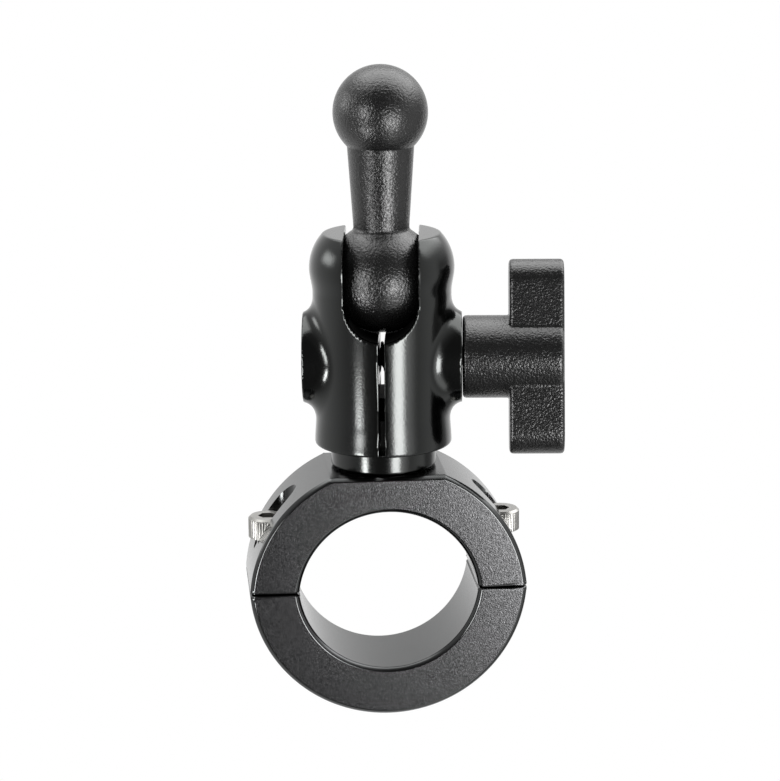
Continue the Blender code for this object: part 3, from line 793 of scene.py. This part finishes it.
@dataclass
class Post:
    """Turned post that the arm swivels on, and the countersunk screw that holds it."""

    collar_radius: float = 9.6 * MM
    collar_height: float = 3.65 * MM
    collar_edge: float = 0.5 * MM
    collar_edge_steps: int = 4
    journal_radius: float = 6.0 * MM
    journal_height: float = 5.55 * MM
    groove_depth: float = 1.6 * MM
    groove_width: float = 2.8 * MM
    head_height: float = 0.9 * MM
    cone_height: float = 0.4 * MM
    edge: float = 0.15 * MM
    facets: int = 128
    screw_radius: float = 2.5 * MM
    screw_pitch: float = 0.8 * MM
    screw_head_radius: float = 4.6 * MM
    screw_rim: float = 0.4 * MM
    screw_grip: float = 8.0 * MM
    screw_head: float = 15.2 * MM       # height of the head's lower face
    screw_key: float = 3.0 * MM
    screw_key_depth: float = 1.6 * MM
    screw_facets: int = 96

    @property
    def bottom(self) -> float:
        """Height of the post's foot."""
        return COLLAR_TOP - self.collar_height

    def build_post(self) -> None:
        """Builds the post."""
        bottom = self.bottom
        groove_bottom = COLLAR_TOP + self.journal_height
        groove_top = groove_bottom + self.groove_width
        head_top = groove_top + self.head_height
        top = head_top + self.cone_height
        edge, steps, journal = self.collar_edge, self.collar_edge_steps, self.journal_radius
        inner, groove = self.collar_radius - edge, journal - self.groove_depth
        profile = [
            (0.0, top), (journal - self.cone_height, top), (journal, head_top),
            (journal, groove_top), (groove, groove_top), (groove, groove_bottom),
            (journal, groove_bottom), (journal, COLLAR_TOP),
            *arc((inner, COLLAR_TOP - edge), edge, pi / 2, 0.0, steps),
            *arc((inner, bottom + edge), edge, 0.0, -pi / 2, steps), (0.0, bottom),
        ]
        post = turned("turned_post", profile, self.facets)
        ease_edges(post, self.edge)
        hole = (self.screw_radius + FIT_GAP, bottom - CUT_PAST)
        carve(post, turned("thread_tool", stepped(bottom + self.screw_grip + FIT_GAP, hole)))

        def head_in_painted_shade(face: MeshPolygon) -> bool:
            """Whether a face lies above the journal, inside the arm, where it gets the painted
            shade.
            """
            return face.center.z > groove_bottom

        # Painted shade: the post's head inside the arm takes the dull dark black finish
        paint(post, head_in_painted_shade)
        finish_piece(
            post, "clamp_base", "swivel_post", "gloss_aluminium", GLOSS_ANODISED, PAINTED_SHADE_ANODISED
        )

    def build_screw(self) -> None:
        """Builds the screw with its thread."""
        tip = self.bottom + self.screw_grip
        head, rim = self.screw_head, self.screw_head + self.screw_rim
        radius, head_radius, pitch = self.screw_radius, self.screw_head_radius, self.screw_pitch
        shoulder = rim + head_radius - radius
        root = thread_root(radius, pitch)
        profile = [
            (0.0, tip), (root, tip), (root, shoulder + pitch), (radius, shoulder),
            (head_radius, rim), (head_radius, head), (0.0, head),
        ]
        screw = turned("countersunk_screw", profile, self.screw_facets)
        ease_edges(screw, self.edge)
        depth = head + self.screw_key_depth
        carve(screw, prism("key_tool", hexagon(self.screw_key), head - CUT_PAST, depth))
        add_thread(screw, radius, pitch, shoulder, tip)
        finish_piece(screw, "clamp_base", "post_screw", "dark_steel", OXIDE_STEEL)

    def build(self) -> None:
        """Builds the post and its screw."""
        self.build_post()
        self.build_screw()


@dataclass
class Jaws:
    """Two-jaw arm: a turned body blended with the screw's bosses, split, and bored for the ball."""

    bottom_gap: float = 0.3 * MM
    slot: float = 1.1 * MM
    rim_radius: float = 12.45 * MM
    rim_round: float = 0.35 * MM
    rim_steps: int = 8
    lower_waist: float = 12.2 * MM
    lower_waist_rise: float = 5.4 * MM
    upper_waist: float = 12.54 * MM
    upper_waist_drop: float = 4.4 * MM
    bulge: float = 13.1 * MM
    bulge_rise: float = 1.8 * MM        # widest height above the ball's centre
    top_rise: float = 6.3 * MM
    top_inset: float = 2.5 * MM
    boss_radius: float = 8.0 * MM
    boss_end: float = 14.4 * MM
    boss_fillet: float = 3.6 * MM
    opening_half_width: float = 6.65 * MM
    opening_bottom: float = 46.45 * MM
    opening_steps: int = 64
    socket_radius: float = 10.3 * MM
    socket_steps: int = 64
    socket_facets: int = 128
    journal_radius: float = 6.3 * MM
    rib_radius: float = 4.7 * MM
    rib_low: float = 31.2 * MM
    rib_high: float = 33.4 * MM
    pocket_top: float = 36.5 * MM
    pocket_facets: int = 96
    screw_hole: float = 2.3 * MM
    spring_hole: float = 3.15 * MM
    spring_depth: float = 4.65 * MM
    nut_flats: float = 7.6 * MM
    nut_floor: float = 10.5 * MM
    spot_radius: float = 6.3 * MM
    spot_floor: float = 13.3 * MM
    rows: int = 200
    columns: int = 240
    halvings: int = 40                  # steps of the search for the blended surface
    skin: float = 0.2 * MM              # facet size of the finished surface
    soften_passes: int = 6
    # bright_rim and floor_facing bound the faces that get the painted shade inside the arm
    bright_rim: float = 0.8 * MM        # depth of the opening's rim that keeps the arm's gloss
    floor_facing: float = 0.5           # least upward share of a normal in the opening's floor

    @property
    def bottom(self) -> float:
        """Height of the jaws' underside."""
        return COLLAR_TOP + self.bottom_gap

    @property
    def bulge_height(self) -> float:
        """Height at which the jaws are widest."""
        return BALL_Z + self.bulge_rise

    @property
    def top(self) -> float:
        """Height of the jaws' flat top."""
        return self.bulge_height + self.top_rise

    def radius(self, height: np.ndarray) -> np.ndarray:
        """Outer radius of the turned body: rim, two waists and the bulge round the ball.

        Args:
            height: Heights to measure at.

        Returns:
            Radius at each height.
        """
        stations = (
            (self.bottom + self.rim_round, self.rim_radius),
            (self.bottom + self.lower_waist_rise, self.lower_waist),
            (self.bulge_height - self.upper_waist_drop, self.upper_waist),
            (self.bulge_height, self.bulge),
        )
        found = np.full_like(height, self.rim_radius)
        for (low, low_radius), (high, high_radius) in zip(stations, stations[1:]):
            share = np.clip((height - low) / (high - low), 0.0, 1.0)
            eased = low_radius + (high_radius - low_radius) * share * share * (3 - 2 * share)
            found = np.where(height > low, eased, found)
        crown = (self.top_rise ** 2 + self.top_inset ** 2) / (2 * self.top_inset)
        above = np.clip(height - self.bulge_height, 0.0, self.top_rise)
        dome = self.bulge - crown + np.sqrt(crown ** 2 - above ** 2)
        return np.where(height > self.bulge_height, dome, found)

    def outside(self, x: np.ndarray, y: np.ndarray, z: np.ndarray) -> np.ndarray:
        """Distance outside the turned body filleted to the two bosses.

        The blend narrows where the surfaces meet at a flatter angle, as a fillet of one radius
        does.

        Args:
            x: Distance along the screw.
            y: Distance along the bar.
            z: Height.

        Returns:
            Distance at each point, negative inside.
        """
        around_arm, around_screw = np.hypot(x, y), np.hypot(y, z - SCREW_Z)
        body = around_arm - self.radius(z)
        past_end = np.abs(x) - self.boss_end - self.boss_fillet
        boss = np.maximum(around_screw - self.boss_radius, past_end)
        likeness = y * y / np.maximum(around_arm * around_screw, WELD * WELD)
        blend = np.maximum(self.boss_fillet * (1 - likeness), WELD)
        overlap = np.maximum(blend - np.abs(body - boss), 0.0)
        return np.minimum(body, boss) - overlap * overlap / (4 * blend)

    def draw_out_bosses(self, blank: Object) -> None:
        """Moves the blank's wall out to the blended surface, each point along its own level ray.

        Args:
            blank: Turned body of the arm.
        """
        points = np.empty(len(blank.data.vertices) * 3)
        blank.data.vertices.foreach_get("co", points)
        points = points.reshape(-1, 3)
        x, y, z = points.T
        wall = np.abs(z - SCREW_Z) < self.boss_radius + self.boss_fillet
        angle = np.arctan2(y, x)
        inside = self.radius(z)
        outside = np.full_like(inside, 2 * self.boss_end)
        for _ in range(self.halvings):
            middle = (inside + outside) / 2
            within = self.outside(middle * np.cos(angle), middle * np.sin(angle), z) < 0
            inside = np.where(within, middle, inside)
            outside = np.where(within, outside, middle)
        points[wall, 0] = (inside * np.cos(angle))[wall]
        points[wall, 1] = (inside * np.sin(angle))[wall]
        blank.data.vertices.foreach_set("co", points.ravel())

    def blank(self, name: str) -> Object:
        """Models the whole arm before it is split and bored.

        Args:
            name: Name of the piece.

        Returns:
            The new object.
        """
        rim_top = self.bottom + self.rim_round
        inner = self.rim_radius - self.rim_round
        heights = np.linspace(self.top, rim_top, self.rows)
        profile = [(0.0, self.top), *zip(self.radius(heights).tolist(), heights.tolist())]
        profile += arc((inner, rim_top), self.rim_round, 0.0, -pi / 2, self.rim_steps)[1:]
        piece = turned(name, profile + [(0.0, self.bottom)], self.columns)
        self.draw_out_bosses(piece)
        return piece

    def tools(self, side: int) -> list[Object]:
        """Models the tools that cut one jaw from the blank.

        Args:
            side: -1 for the left jaw, which holds the nut, and 1 for the right.

        Returns:
            Closed cutting tools.
        """
        wide, low, high = 2 * self.boss_end, self.bottom - CUT_PAST, self.top + CUT_PAST

        def slab(name: str, near: float, far: float) -> Object:
            """Models a block across the arm between two places along the screw."""
            return prism(name, [(near, -wide), (near, wide), (far, wide), (far, -wide)], low, high)

        split = slab("split_tool", side * self.slot / 2, -side * wide)
        boss_face = slab("boss_face_tool", side * self.boss_end, side * wide)
        half = self.opening_half_width
        outline = arc((0.0, self.opening_bottom + half), half, -pi, 0.0, self.opening_steps)
        opening = prism("opening_tool", outline + [(half, high), (-half, high)], -wide, wide)
        place(opening, ALONG_Y)
        ball = arc((0.0, BALL_Z), self.socket_radius, pi / 2, -pi / 2, self.socket_steps)
        socket = turned("socket_tool", ball, self.socket_facets)
        journal, rib = self.journal_radius, self.rib_radius
        pocket = turned("post_tool", stepped(
            self.pocket_top, (journal, self.rib_high), (rib, self.rib_low), (journal, low)
        ), self.pocket_facets)
        hole, depth = self.screw_hole, self.spring_depth
        bore = turned("bore_tool", stepped(
            wide, (hole, depth), (self.spring_hole, -depth), (hole, -wide)
        ))
        if side < 0:
            seat = prism("nut_tool", hexagon(self.nut_flats), -wide, -self.nut_floor)
        else:
            seat = turned("spot_tool", stepped(wide, (self.spot_radius, self.spot_floor)))
        for tool in (bore, seat):
            place(tool, *TO_SCREW)
        return [split, boss_face, opening, socket, pocket, bore, seat]

    def in_painted_shade(self, face: MeshPolygon) -> bool:
        """Whether a face gets the painted shade: the ball's seat or the floor of its opening, in
        shade inside the arm.

        Args:
            face: Face of a jaw that isn't yet turned with the arm.

        Returns:
            True for such a face, unless it is in the opening's rim.
        """
        centre = face.center
        if centre.xy.length >= self.lower_waist - self.bright_rim:
            return False
        in_socket = (centre - Vector((0.0, 0.0, BALL_Z))).length < self.socket_radius + self.skin
        low = centre.z < self.opening_bottom + self.opening_half_width
        between = abs(centre.x) < self.opening_half_width
        return in_socket or (low and between and face.normal.z > self.floor_facing)

    def build(self) -> None:
        """Builds both jaws."""
        for label, side, body in (("left", -1, "arm"), ("right", 1, "moving_jaw")):
            jaw = self.blank(label + "_arm_jaw")
            for tool in self.tools(side):
                carve(jaw, tool)
            reskin(jaw, self.skin, self.soften_passes)
            # Painted shade: the seat and the opening's floor take the dull dark black finish
            paint(jaw, self.in_painted_shade)
            place(jaw, ARM_TURN)
            finish_piece(
                jaw, body, label + "_jaw", "gloss_aluminium", GLOSS_ANODISED, PAINTED_SHADE_ANODISED
            )


@dataclass
class Stud:
    """Moulded stud with a ball at each end of a tapered neck."""

    upper_radius: float = 8.5 * MM
    upper_steps: int = 56
    lower_radius: float = 10.0 * MM
    lower_steps: int = 64
    spacing: float = 29.8 * MM
    neck_top: float = 6.0 * MM
    neck_bottom: float = 5.03 * MM
    foot_fillet: float = 1.1 * MM
    foot_steps: int = 8
    top_fillet: float = 0.25 * MM
    top_steps: int = 4
    facets: int = 144

    def fillet(self, ball: float, neck: float, fillet: float) -> tuple[float, float]:
        """Height from a ball's centre, and angle on the ball, of a fillet's centre beside a neck.

        Args:
            ball: Radius of the ball.
            neck: Radius of the neck.
            fillet: Radius of the fillet.

        Returns:
            The height and the angle.
        """
        reach = ball + fillet
        height = sqrt(reach ** 2 - (neck + fillet) ** 2)
        return height, atan2(height, neck + fillet)

    def build(self) -> None:
        """Builds the stud."""
        upper, top, foot = BALL_Z + self.spacing, self.top_fillet, self.foot_fillet
        top_drop, top_angle = self.fillet(self.upper_radius, self.neck_top, top)
        foot_rise, foot_angle = self.fillet(self.lower_radius, self.neck_bottom, foot)
        top_centre = (self.neck_top + top, upper - top_drop)
        foot_centre = (self.neck_bottom + foot, BALL_Z + foot_rise)
        lower = arc((0.0, BALL_Z), self.lower_radius, foot_angle, -pi / 2, self.lower_steps)
        profile = [
            *arc((0.0, upper), self.upper_radius, pi / 2, -top_angle, self.upper_steps),
            *arc(top_centre, top, pi - top_angle, pi, self.top_steps)[1:],
            *arc(foot_centre, foot, pi, pi + foot_angle, self.foot_steps),
            *lower[1:],
        ]
        stud = turned("moulded_ball_stud", profile, self.facets)
        place(stud, ARM_TURN)
        finish_piece(stud, "stud", "ball_stud", "moulded_nylon", GRAINED_NYLON)


@dataclass
class KnobScrew:
    """M4 screw across the jaws, with its nut, washer and spring."""

    radius: float = 2.0 * MM
    pitch: float = 0.7 * MM
    tip: float = -14.0 * MM
    root_face: float = 15.2 * MM
    root_radius: float = 3.0 * MM
    root_length: float = 11.0 * MM
    point: float = 0.5 * MM
    nut_flats: float = 7.0 * MM
    nut_outer: float = -14.0 * MM
    nut_inner: float = -10.8 * MM
    nut_chamfer: float = 0.55 * MM
    washer_radius: float = 6.0 * MM
    washer_outer: float = 14.35 * MM
    washer_inner: float = 13.6 * MM
    ring_facets: int = 96               # round the nut and the washer
    wire: float = 0.5 * MM
    wire_facets: int = 14
    coil_radius: float = 2.6 * MM
    coil_facets: int = 40
    spring_reach: float = 4.35 * MM
    curls: int = 7
    edge: float = 0.1 * MM

    def build_screw(self) -> None:
        """Builds the screw with its thread."""
        core = thread_root(self.radius, self.pitch)
        face, root = self.root_face, self.root_radius
        end = face + self.root_length
        profile = [
            (0.0, end), (root, end), (root, face), (core, face), (core, self.tip + self.point),
            (core - self.point, self.tip), (0.0, self.tip),
        ]
        screw = turned("threaded_screw", profile)
        ease_edges(screw, self.edge)
        add_thread(screw, self.radius, self.pitch, self.tip + self.point, face)
        place(screw, *TO_SCREW, ARM_TURN)
        finish_piece(screw, "knob", "knob_screw", "dark_steel", OXIDE_STEEL)

    def build_nut(self) -> None:
        """Builds the hex nut with chamfered corners."""
        low, high = self.nut_outer, self.nut_inner
        nut = prism("hex_nut", hexagon(self.nut_flats), low, high)
        corner = self.nut_flats / sqrt(3)
        inner, rise = corner - self.nut_chamfer, self.nut_chamfer / sqrt(3)
        cone = [
            (0.0, high), (inner, high), (corner, high - rise),
            (corner, low + rise), (inner, low), (0.0, low),
        ]
        carve(nut, turned("nut_cone", cone, self.ring_facets), 'INTERSECT')
        bore = stepped(high + CUT_PAST, (self.radius + FIT_GAP, low - CUT_PAST))
        carve(nut, turned("nut_bore", bore))
        place(nut, *TO_SCREW, ARM_TURN)
        finish_piece(nut, "arm", "jaw_nut", "bright_steel", ZINC_STEEL)

    def build_washer(self) -> None:
        """Builds the washer under the knob."""
        bore, rim = self.radius + FIT_GAP, self.washer_radius
        low, high = self.washer_inner, self.washer_outer
        section = [(bore, high), (rim, high), (rim, low), (bore, low)]
        washer = turned("flat_washer", section, self.ring_facets, bored=True)
        ease_edges(washer, self.edge)
        place(washer, *TO_SCREW, ARM_TURN)
        finish_piece(washer, "moving_jaw", "knob_washer", "dark_steel", OXIDE_STEEL)

    def build_spring(self) -> None:
        """Builds the spring that opens the jaws."""
        radius = self.wire / 2
        reach = self.spring_reach - radius
        section = arc((self.coil_radius, -reach), radius, 0.0, 2 * pi, self.wire_facets)[:-1]
        pitch = 2 * reach / self.curls
        spring = helix("coil_spring", section, pitch, self.curls, self.coil_facets)
        place(spring, *TO_SCREW, ARM_TURN)
        finish_piece(spring, "arm", "jaw_spring", "dark_steel", OXIDE_STEEL)

    def build(self) -> None:
        """Builds the screw and what sits on it."""
        self.build_screw()
        self.build_nut()
        self.build_washer()
        self.build_spring()


@dataclass
class WingKnob:
    """Moulded knob: two straight wings across a round hub."""

    hub_face: float = 14.5 * MM
    hub_radius: float = 7.5 * MM
    hub_length: float = 18.3 * MM
    hub_facets: int = 160
    wing_length: float = 9.9 * MM
    half_span: float = 17.6 * MM
    thickness: float = 10.8 * MM
    corner: float = 4.2 * MM
    corner_steps: int = 16
    edge: float = 0.65 * MM
    edge_steps: int = 5
    end_step: float = 0.2 * MM
    socket_radius: float = 3.3 * MM
    socket_end: float = 26.5 * MM
    turn: float = radians(-13.0)
    skin: float = 0.18 * MM
    soften_passes: int = 6

    def wings(self) -> Object:
        """Models the wings as one rounded plate across the axis.

        Returns:
            The new object.
        """
        x, y = self.half_span - self.corner, self.thickness / 2 - self.corner
        outline: list[Point] = []
        for quarter, centre in enumerate(((x, y), (-x, y), (-x, -y), (x, -y))):
            start = quarter * pi / 2
            outline += arc(centre, self.corner, start, (quarter + 1) * pi / 2, self.corner_steps)
        end = self.hub_face + self.hub_length
        plate = prism("moulded_wing_knob", outline, end - self.wing_length, end)
        ease_edges(plate, self.edge, self.edge_steps)
        return plate

    def build(self) -> None:
        """Builds the knob."""
        knob = self.wings()
        face, edge, steps = self.hub_face, self.edge, self.edge_steps
        end, inner = face + self.hub_length - self.end_step, self.hub_radius - edge
        profile = [
            (0.0, end), *arc((inner, end - edge), edge, pi / 2, 0.0, steps),
            *arc((inner, face + edge), edge, 0.0, -pi / 2, steps), (0.0, face),
        ]
        carve(knob, turned("knob_hub", profile, self.hub_facets), 'UNION')
        socket = stepped(self.socket_end, (self.socket_radius, face - CUT_PAST))
        carve(knob, turned("knob_socket", socket))
        reskin(knob, self.skin, self.soften_passes)
        place(knob, ALONG_X, Matrix.Rotation(self.turn, 4, 'X'), *TO_SCREW[1:], ARM_TURN)
        finish_piece(knob, "knob", "wing_knob", "moulded_nylon", SPARKED_NYLON)


@dataclass(frozen=True)
class Panel:
    """A bright or dark patch of the studio's walls, by direction from the object.

    Attributes:
        azimuth: Middle, in degrees from -Y towards +X.
        half_width: Half its width, in degrees.
        azimuth_fade: Width of its soft sides.
        strength: Light that it adds, or for a dark patch the share that it takes away.
        elevation: Middle height in degrees.
        half_height: Half its height; 180 covers every height.
        elevation_fade: Height of its soft ends.
        overhead: Whether the angles are counted from the zenith, towards +X and towards +Y.
    """

    azimuth: float
    half_width: float
    azimuth_fade: float
    strength: float
    elevation: float = 0.0
    half_height: float = 180.0
    elevation_fade: float = 1.0
    overhead: bool = False

    def windows(self) -> tuple[Window, Window]:
        """Middle, half width and fade in azimuth, and the same in elevation."""
        across = (self.azimuth, self.half_width, self.azimuth_fade)
        return across, (self.elevation, self.half_height, self.elevation_fade)


@dataclass(frozen=True)
class Lamp:
    """A soft-edged light close to the object, which only gloss shows.

    Attributes:
        name: Name of the light.
        azimuth: Direction in degrees from -Y towards +X.
        distance: Distance from the origin, level.
        low: Height of its lower edge, where it starts to fade.
        high: Height of its upper edge.
        half_width: Half the width of its even middle.
        side_fade: Width of its soft sides.
        end_fade: Height of its soft ends.
        strength: Light that it gives.
    """

    name: str
    azimuth: float
    distance: float
    low: float
    high: float
    half_width: float
    side_fade: float
    end_fade: float
    strength: float


@dataclass
class Studio:
    """White tent with soft boxes, dark flags, two lamps close by, a white floor and the camera."""

    surround: float = 1.25
    flags: Sequence[Panel] = (
        Panel(-10.0, 28.0, 75.0, 0.82),                         # the room behind the camera
        Panel(-5.0, 12.0, 10.0, 0.35),                          # the camera itself
        Panel(112.0, 8.0, 16.0, 0.65, -45.0, 45.0, 18.0),       # dark edge on the right jaw
    )
    boxes: Sequence[Panel] = (
        Panel(29.0, 5.0, 24.0, 2.4, -26.0, 28.0, 14.0),         # low, right of the camera
        Panel(-45.0, 2.0, 9.0, 20.0, 3.0, 9.0, 6.0),            # spot on the left jaw
        Panel(-105.0, 4.0, 16.0, 7.0, 15.0, 2.0, 11.0),         # far left
        Panel(14.0, 38.0, 22.0, 4.7, 16.0, 23.0, 11.0, overhead=True),
    )
    lamps: Sequence[Lamp] = (
        Lamp("key_light", 21.7, 402 * MM, -110 * MM, 30 * MM, 31 * MM, 60 * MM, 40 * MM, 19.0),
        Lamp(
            "strip_light", -44.8, 151 * MM, -56 * MM, -8.8 * MM, 6.2 * MM, 15.8 * MM, 8.3 * MM,
            28.0,
        ),
    )
    camera_place: tuple[float, float, float] = (-42.17 * MM, -495.46 * MM, 155.64 * MM)
    pitch: float = radians(13.625)
    yaw: float = radians(-5.013)
    roll: float = radians(-0.522)
    lens_mm: float = 129.71
    sensor_mm: float = 36.0
    nearest: float = 10 * MM
    floor_size: float = 4.0
    floor_drop: float = 4.0 * MM        # clear of the ring's lower half when the clamp is open

    def patch(
        self, tree: NodeTree, measures: Sequence[NodeSocket], windows: Sequence[Window]
    ) -> NodeSocket:
        """Adds a soft-edged patch over two measures.

        Args:
            tree: Node tree of the world or of a lamp.
            measures: Sockets of the measures.
            windows: Middle, half width and fade of the patch along each measure.

        Returns:
            Socket that is 1 inside the patch and 0 outside.
        """
        shares: dict[Any, NodeSocket] = {}
        for side, (measure, (middle, half, fade)) in enumerate(zip(measures, windows)):
            links, values = {0: measure}, {1: middle}
            offset = add_node(tree, "ShaderNodeMath", links, values, operation='SUBTRACT')
            links = {0: offset.outputs[0]}
            distance = add_node(tree, "ShaderNodeMath", links, operation='ABSOLUTE')
            links = {"Value": distance.outputs[0]}
            values = {"From Min": half, "From Max": half + fade, "To Min": 1.0, "To Max": 0.0}
            share = add_node(
                tree, "ShaderNodeMapRange", links, values, interpolation_type='SMOOTHSTEP'
            )
            shares[side] = share.outputs["Result"]
        return add_node(tree, "ShaderNodeMath", shares, operation='MULTIPLY').outputs[0]

    def angles(self, tree: NodeTree) -> list[NodeSocket]:
        """Adds the angles of a direction in the world.

        Args:
            tree: Node tree of the world.

        Returns:
            Azimuth, elevation, and the leans from the zenith towards +X and +Y, in degrees.
        """
        direction = add_node(tree, "ShaderNodeTexCoord").outputs["Generated"]
        x, y, z = add_node(tree, "ShaderNodeSeparateXYZ", {0: direction}).outputs
        ahead = add_node(tree, "ShaderNodeMath", {0: y}, {1: -1.0}, operation='MULTIPLY')
        found = []
        for operation, *sides in (
            ('ARCTAN2', x, ahead.outputs[0]), ('ARCSINE', z), ('ARCTAN2', x, z), ('ARCSINE', y),
        ):
            turn = add_node(tree, "ShaderNodeMath", dict(enumerate(sides)), operation=operation)
            angle = add_node(tree, "ShaderNodeMath", {0: turn.outputs[0]}, operation='DEGREES')
            found.append(angle.outputs[0])
        return found

    def light(self) -> None:
        """Builds the world: white walls, less the flags, plus the boxes, white to the camera."""
        world = bpy.data.worlds.new("white_tent")
        bpy.context.scene.world = world
        world.use_nodes = True
        tree = world.node_tree
        tree.nodes.clear()
        angles = self.angles(tree)
        total: NodeSocket | None = None
        for panel in (*self.flags, *self.boxes):
            measures = angles[2:] if panel.overhead else angles[:2]
            links = {0: self.patch(tree, measures, panel.windows())}
            if panel in self.boxes:
                links[2] = total
                values = {1: panel.strength}
            else:
                # The first flag is cut from the walls, and each later one from what is left
                walls = self.surround if total is None else 1.0
                values = {1: -panel.strength * walls, 2: walls}
            mixed = add_node(tree, "ShaderNodeMath", links, values, operation='MULTIPLY_ADD')
            if panel in self.flags[1:]:
                links = {0: total, 1: mixed.outputs[0]}
                mixed = add_node(tree, "ShaderNodeMath", links, operation='MULTIPLY')
            total = mixed.outputs[0]
        studio = add_node(tree, "ShaderNodeBackground", {"Strength": total})
        white = {"Strength": 1.0, "Color": linear("#FFFFFF")}
        plain = add_node(tree, "ShaderNodeBackground", values=white)
        rays = add_node(tree, "ShaderNodeLightPath").outputs["Is Camera Ray"]
        sides = {0: rays, 1: studio.outputs[0], 2: plain.outputs[0]}
        shown = add_node(tree, "ShaderNodeMixShader", sides)
        add_node(tree, "ShaderNodeOutputWorld", {"Surface": shown.outputs[0]})

    def sheet(self, name: str, finish: str, unseen: Sequence[str], *moves: Matrix) -> NodeTree:
        """Adds a sheet that belongs to the studio, one metre square before it is placed.

        Args:
            name: Name of the sheet.
            finish: Name of its material.
            unseen: Kinds of ray that don't see it.
            moves: Matrices that size and place it.

        Returns:
            Node tree of its material.
        """
        bpy.ops.object.select_all(action='DESELECT')
        bpy.ops.mesh.primitive_plane_add(size=1.0)
        sheet = bpy.context.object
        sheet.name = name
        place(sheet, *moves)
        material = bpy.data.materials.new(finish)
        material.use_nodes = True
        sheet.data.materials.append(material)
        for ray in unseen:
            setattr(sheet, "visible_" + ray, False)
        return material.node_tree

    def lamp(self, lamp: Lamp) -> None:
        """Builds one lamp as a glowing sheet that faces the object.

        Args:
            lamp: Its place, size and light.
        """
        wide = 2 * (lamp.half_width + lamp.side_fade)
        high = lamp.high - lamp.low + 2 * lamp.end_fade
        tree = self.sheet(
            lamp.name, "diffused_" + lamp.name, ("camera", "diffuse", "shadow"),
            Matrix.Diagonal((wide, high, 1.0, 1.0)), Matrix.Rotation(pi / 2, 4, 'X'),
            Matrix.Translation((0.0, -lamp.distance, (lamp.low + lamp.high) / 2)),
            Matrix.Rotation(radians(lamp.azimuth), 4, 'Z'),
        )
        sides = add_node(tree, "ShaderNodeTexCoord").outputs["UV"]
        axes = add_node(tree, "ShaderNodeSeparateXYZ", {0: sides}).outputs
        middle, fade = 0.5, lamp.end_fade / high
        across = (middle, lamp.half_width / wide, lamp.side_fade / wide)
        patch = self.patch(tree, axes, (across, (middle, middle - fade, fade)))
        clear = add_node(tree, "ShaderNodeBsdfTransparent").outputs[0]
        light = {"Color": linear("#FFFFFF"), "Strength": lamp.strength}
        glow = add_node(tree, "ShaderNodeEmission", values=light).outputs[0]
        shown = add_node(tree, "ShaderNodeMixShader", {0: patch, 1: clear, 2: glow})
        tree.links.new(shown.outputs[0], tree.nodes["Material Output"].inputs["Surface"])

    def floor(self) -> None:
        """Builds the white floor, which glows evenly and casts nothing into the gloss."""
        tree = self.sheet(
            "floor", "white_paper_sweep", ("glossy", "diffuse", "shadow"),
            Matrix.Scale(self.floor_size, 4),
            Matrix.Translation((0.0, 0.0, CAD_BOX[0].z - self.floor_drop)),
        )
        for socket, value in (
            ("Base Color", linear("#000000")), ("Specular IOR Level", 0.0),
            ("Emission Color", linear("#FFFFFF")), ("Emission Strength", 1.0),
        ):
            tree.nodes["Principled BSDF"].inputs[socket].default_value = value

    def camera(self) -> None:
        """Sets the camera where the photograph was taken from."""
        data = bpy.data.cameras.new("photo_camera")
        data.sensor_fit = 'VERTICAL'
        data.sensor_height = self.sensor_mm
        data.lens = self.lens_mm
        data.clip_start = self.nearest
        camera = bpy.data.objects.new("photo_camera", data)
        bpy.context.scene.collection.objects.link(camera)
        tilt = Matrix.Rotation(pi / 2 - self.pitch, 4, 'X')
        camera.matrix_world = (
            Matrix.Translation(self.camera_place) @ Matrix.Rotation(self.yaw, 4, 'Z') @ tilt
            @ Matrix.Rotation(self.roll, 4, 'Z')
        )
        bpy.context.scene.camera = camera

    def build(self) -> None:
        """Sets up the camera, lamps, floor, light and plain colour handling."""
        self.camera()
        for lamp in self.lamps:
            self.lamp(lamp)
        self.floor()
        self.light()
        bpy.context.scene.view_settings.view_transform = 'Standard'


def main() -> None:
    """Builds the studio and every piece in order."""
    logging.basicConfig(level=logging.INFO, format="%(name)s: %(message)s")
    for part in (Studio(), Clamp(), ClampBolt(), Post(), Jaws(), Stud(), KnobScrew(), WingKnob()):
        LOG.info("building %s", type(part).__name__)
        part.build()


if __name__ == "__main__":
    main()
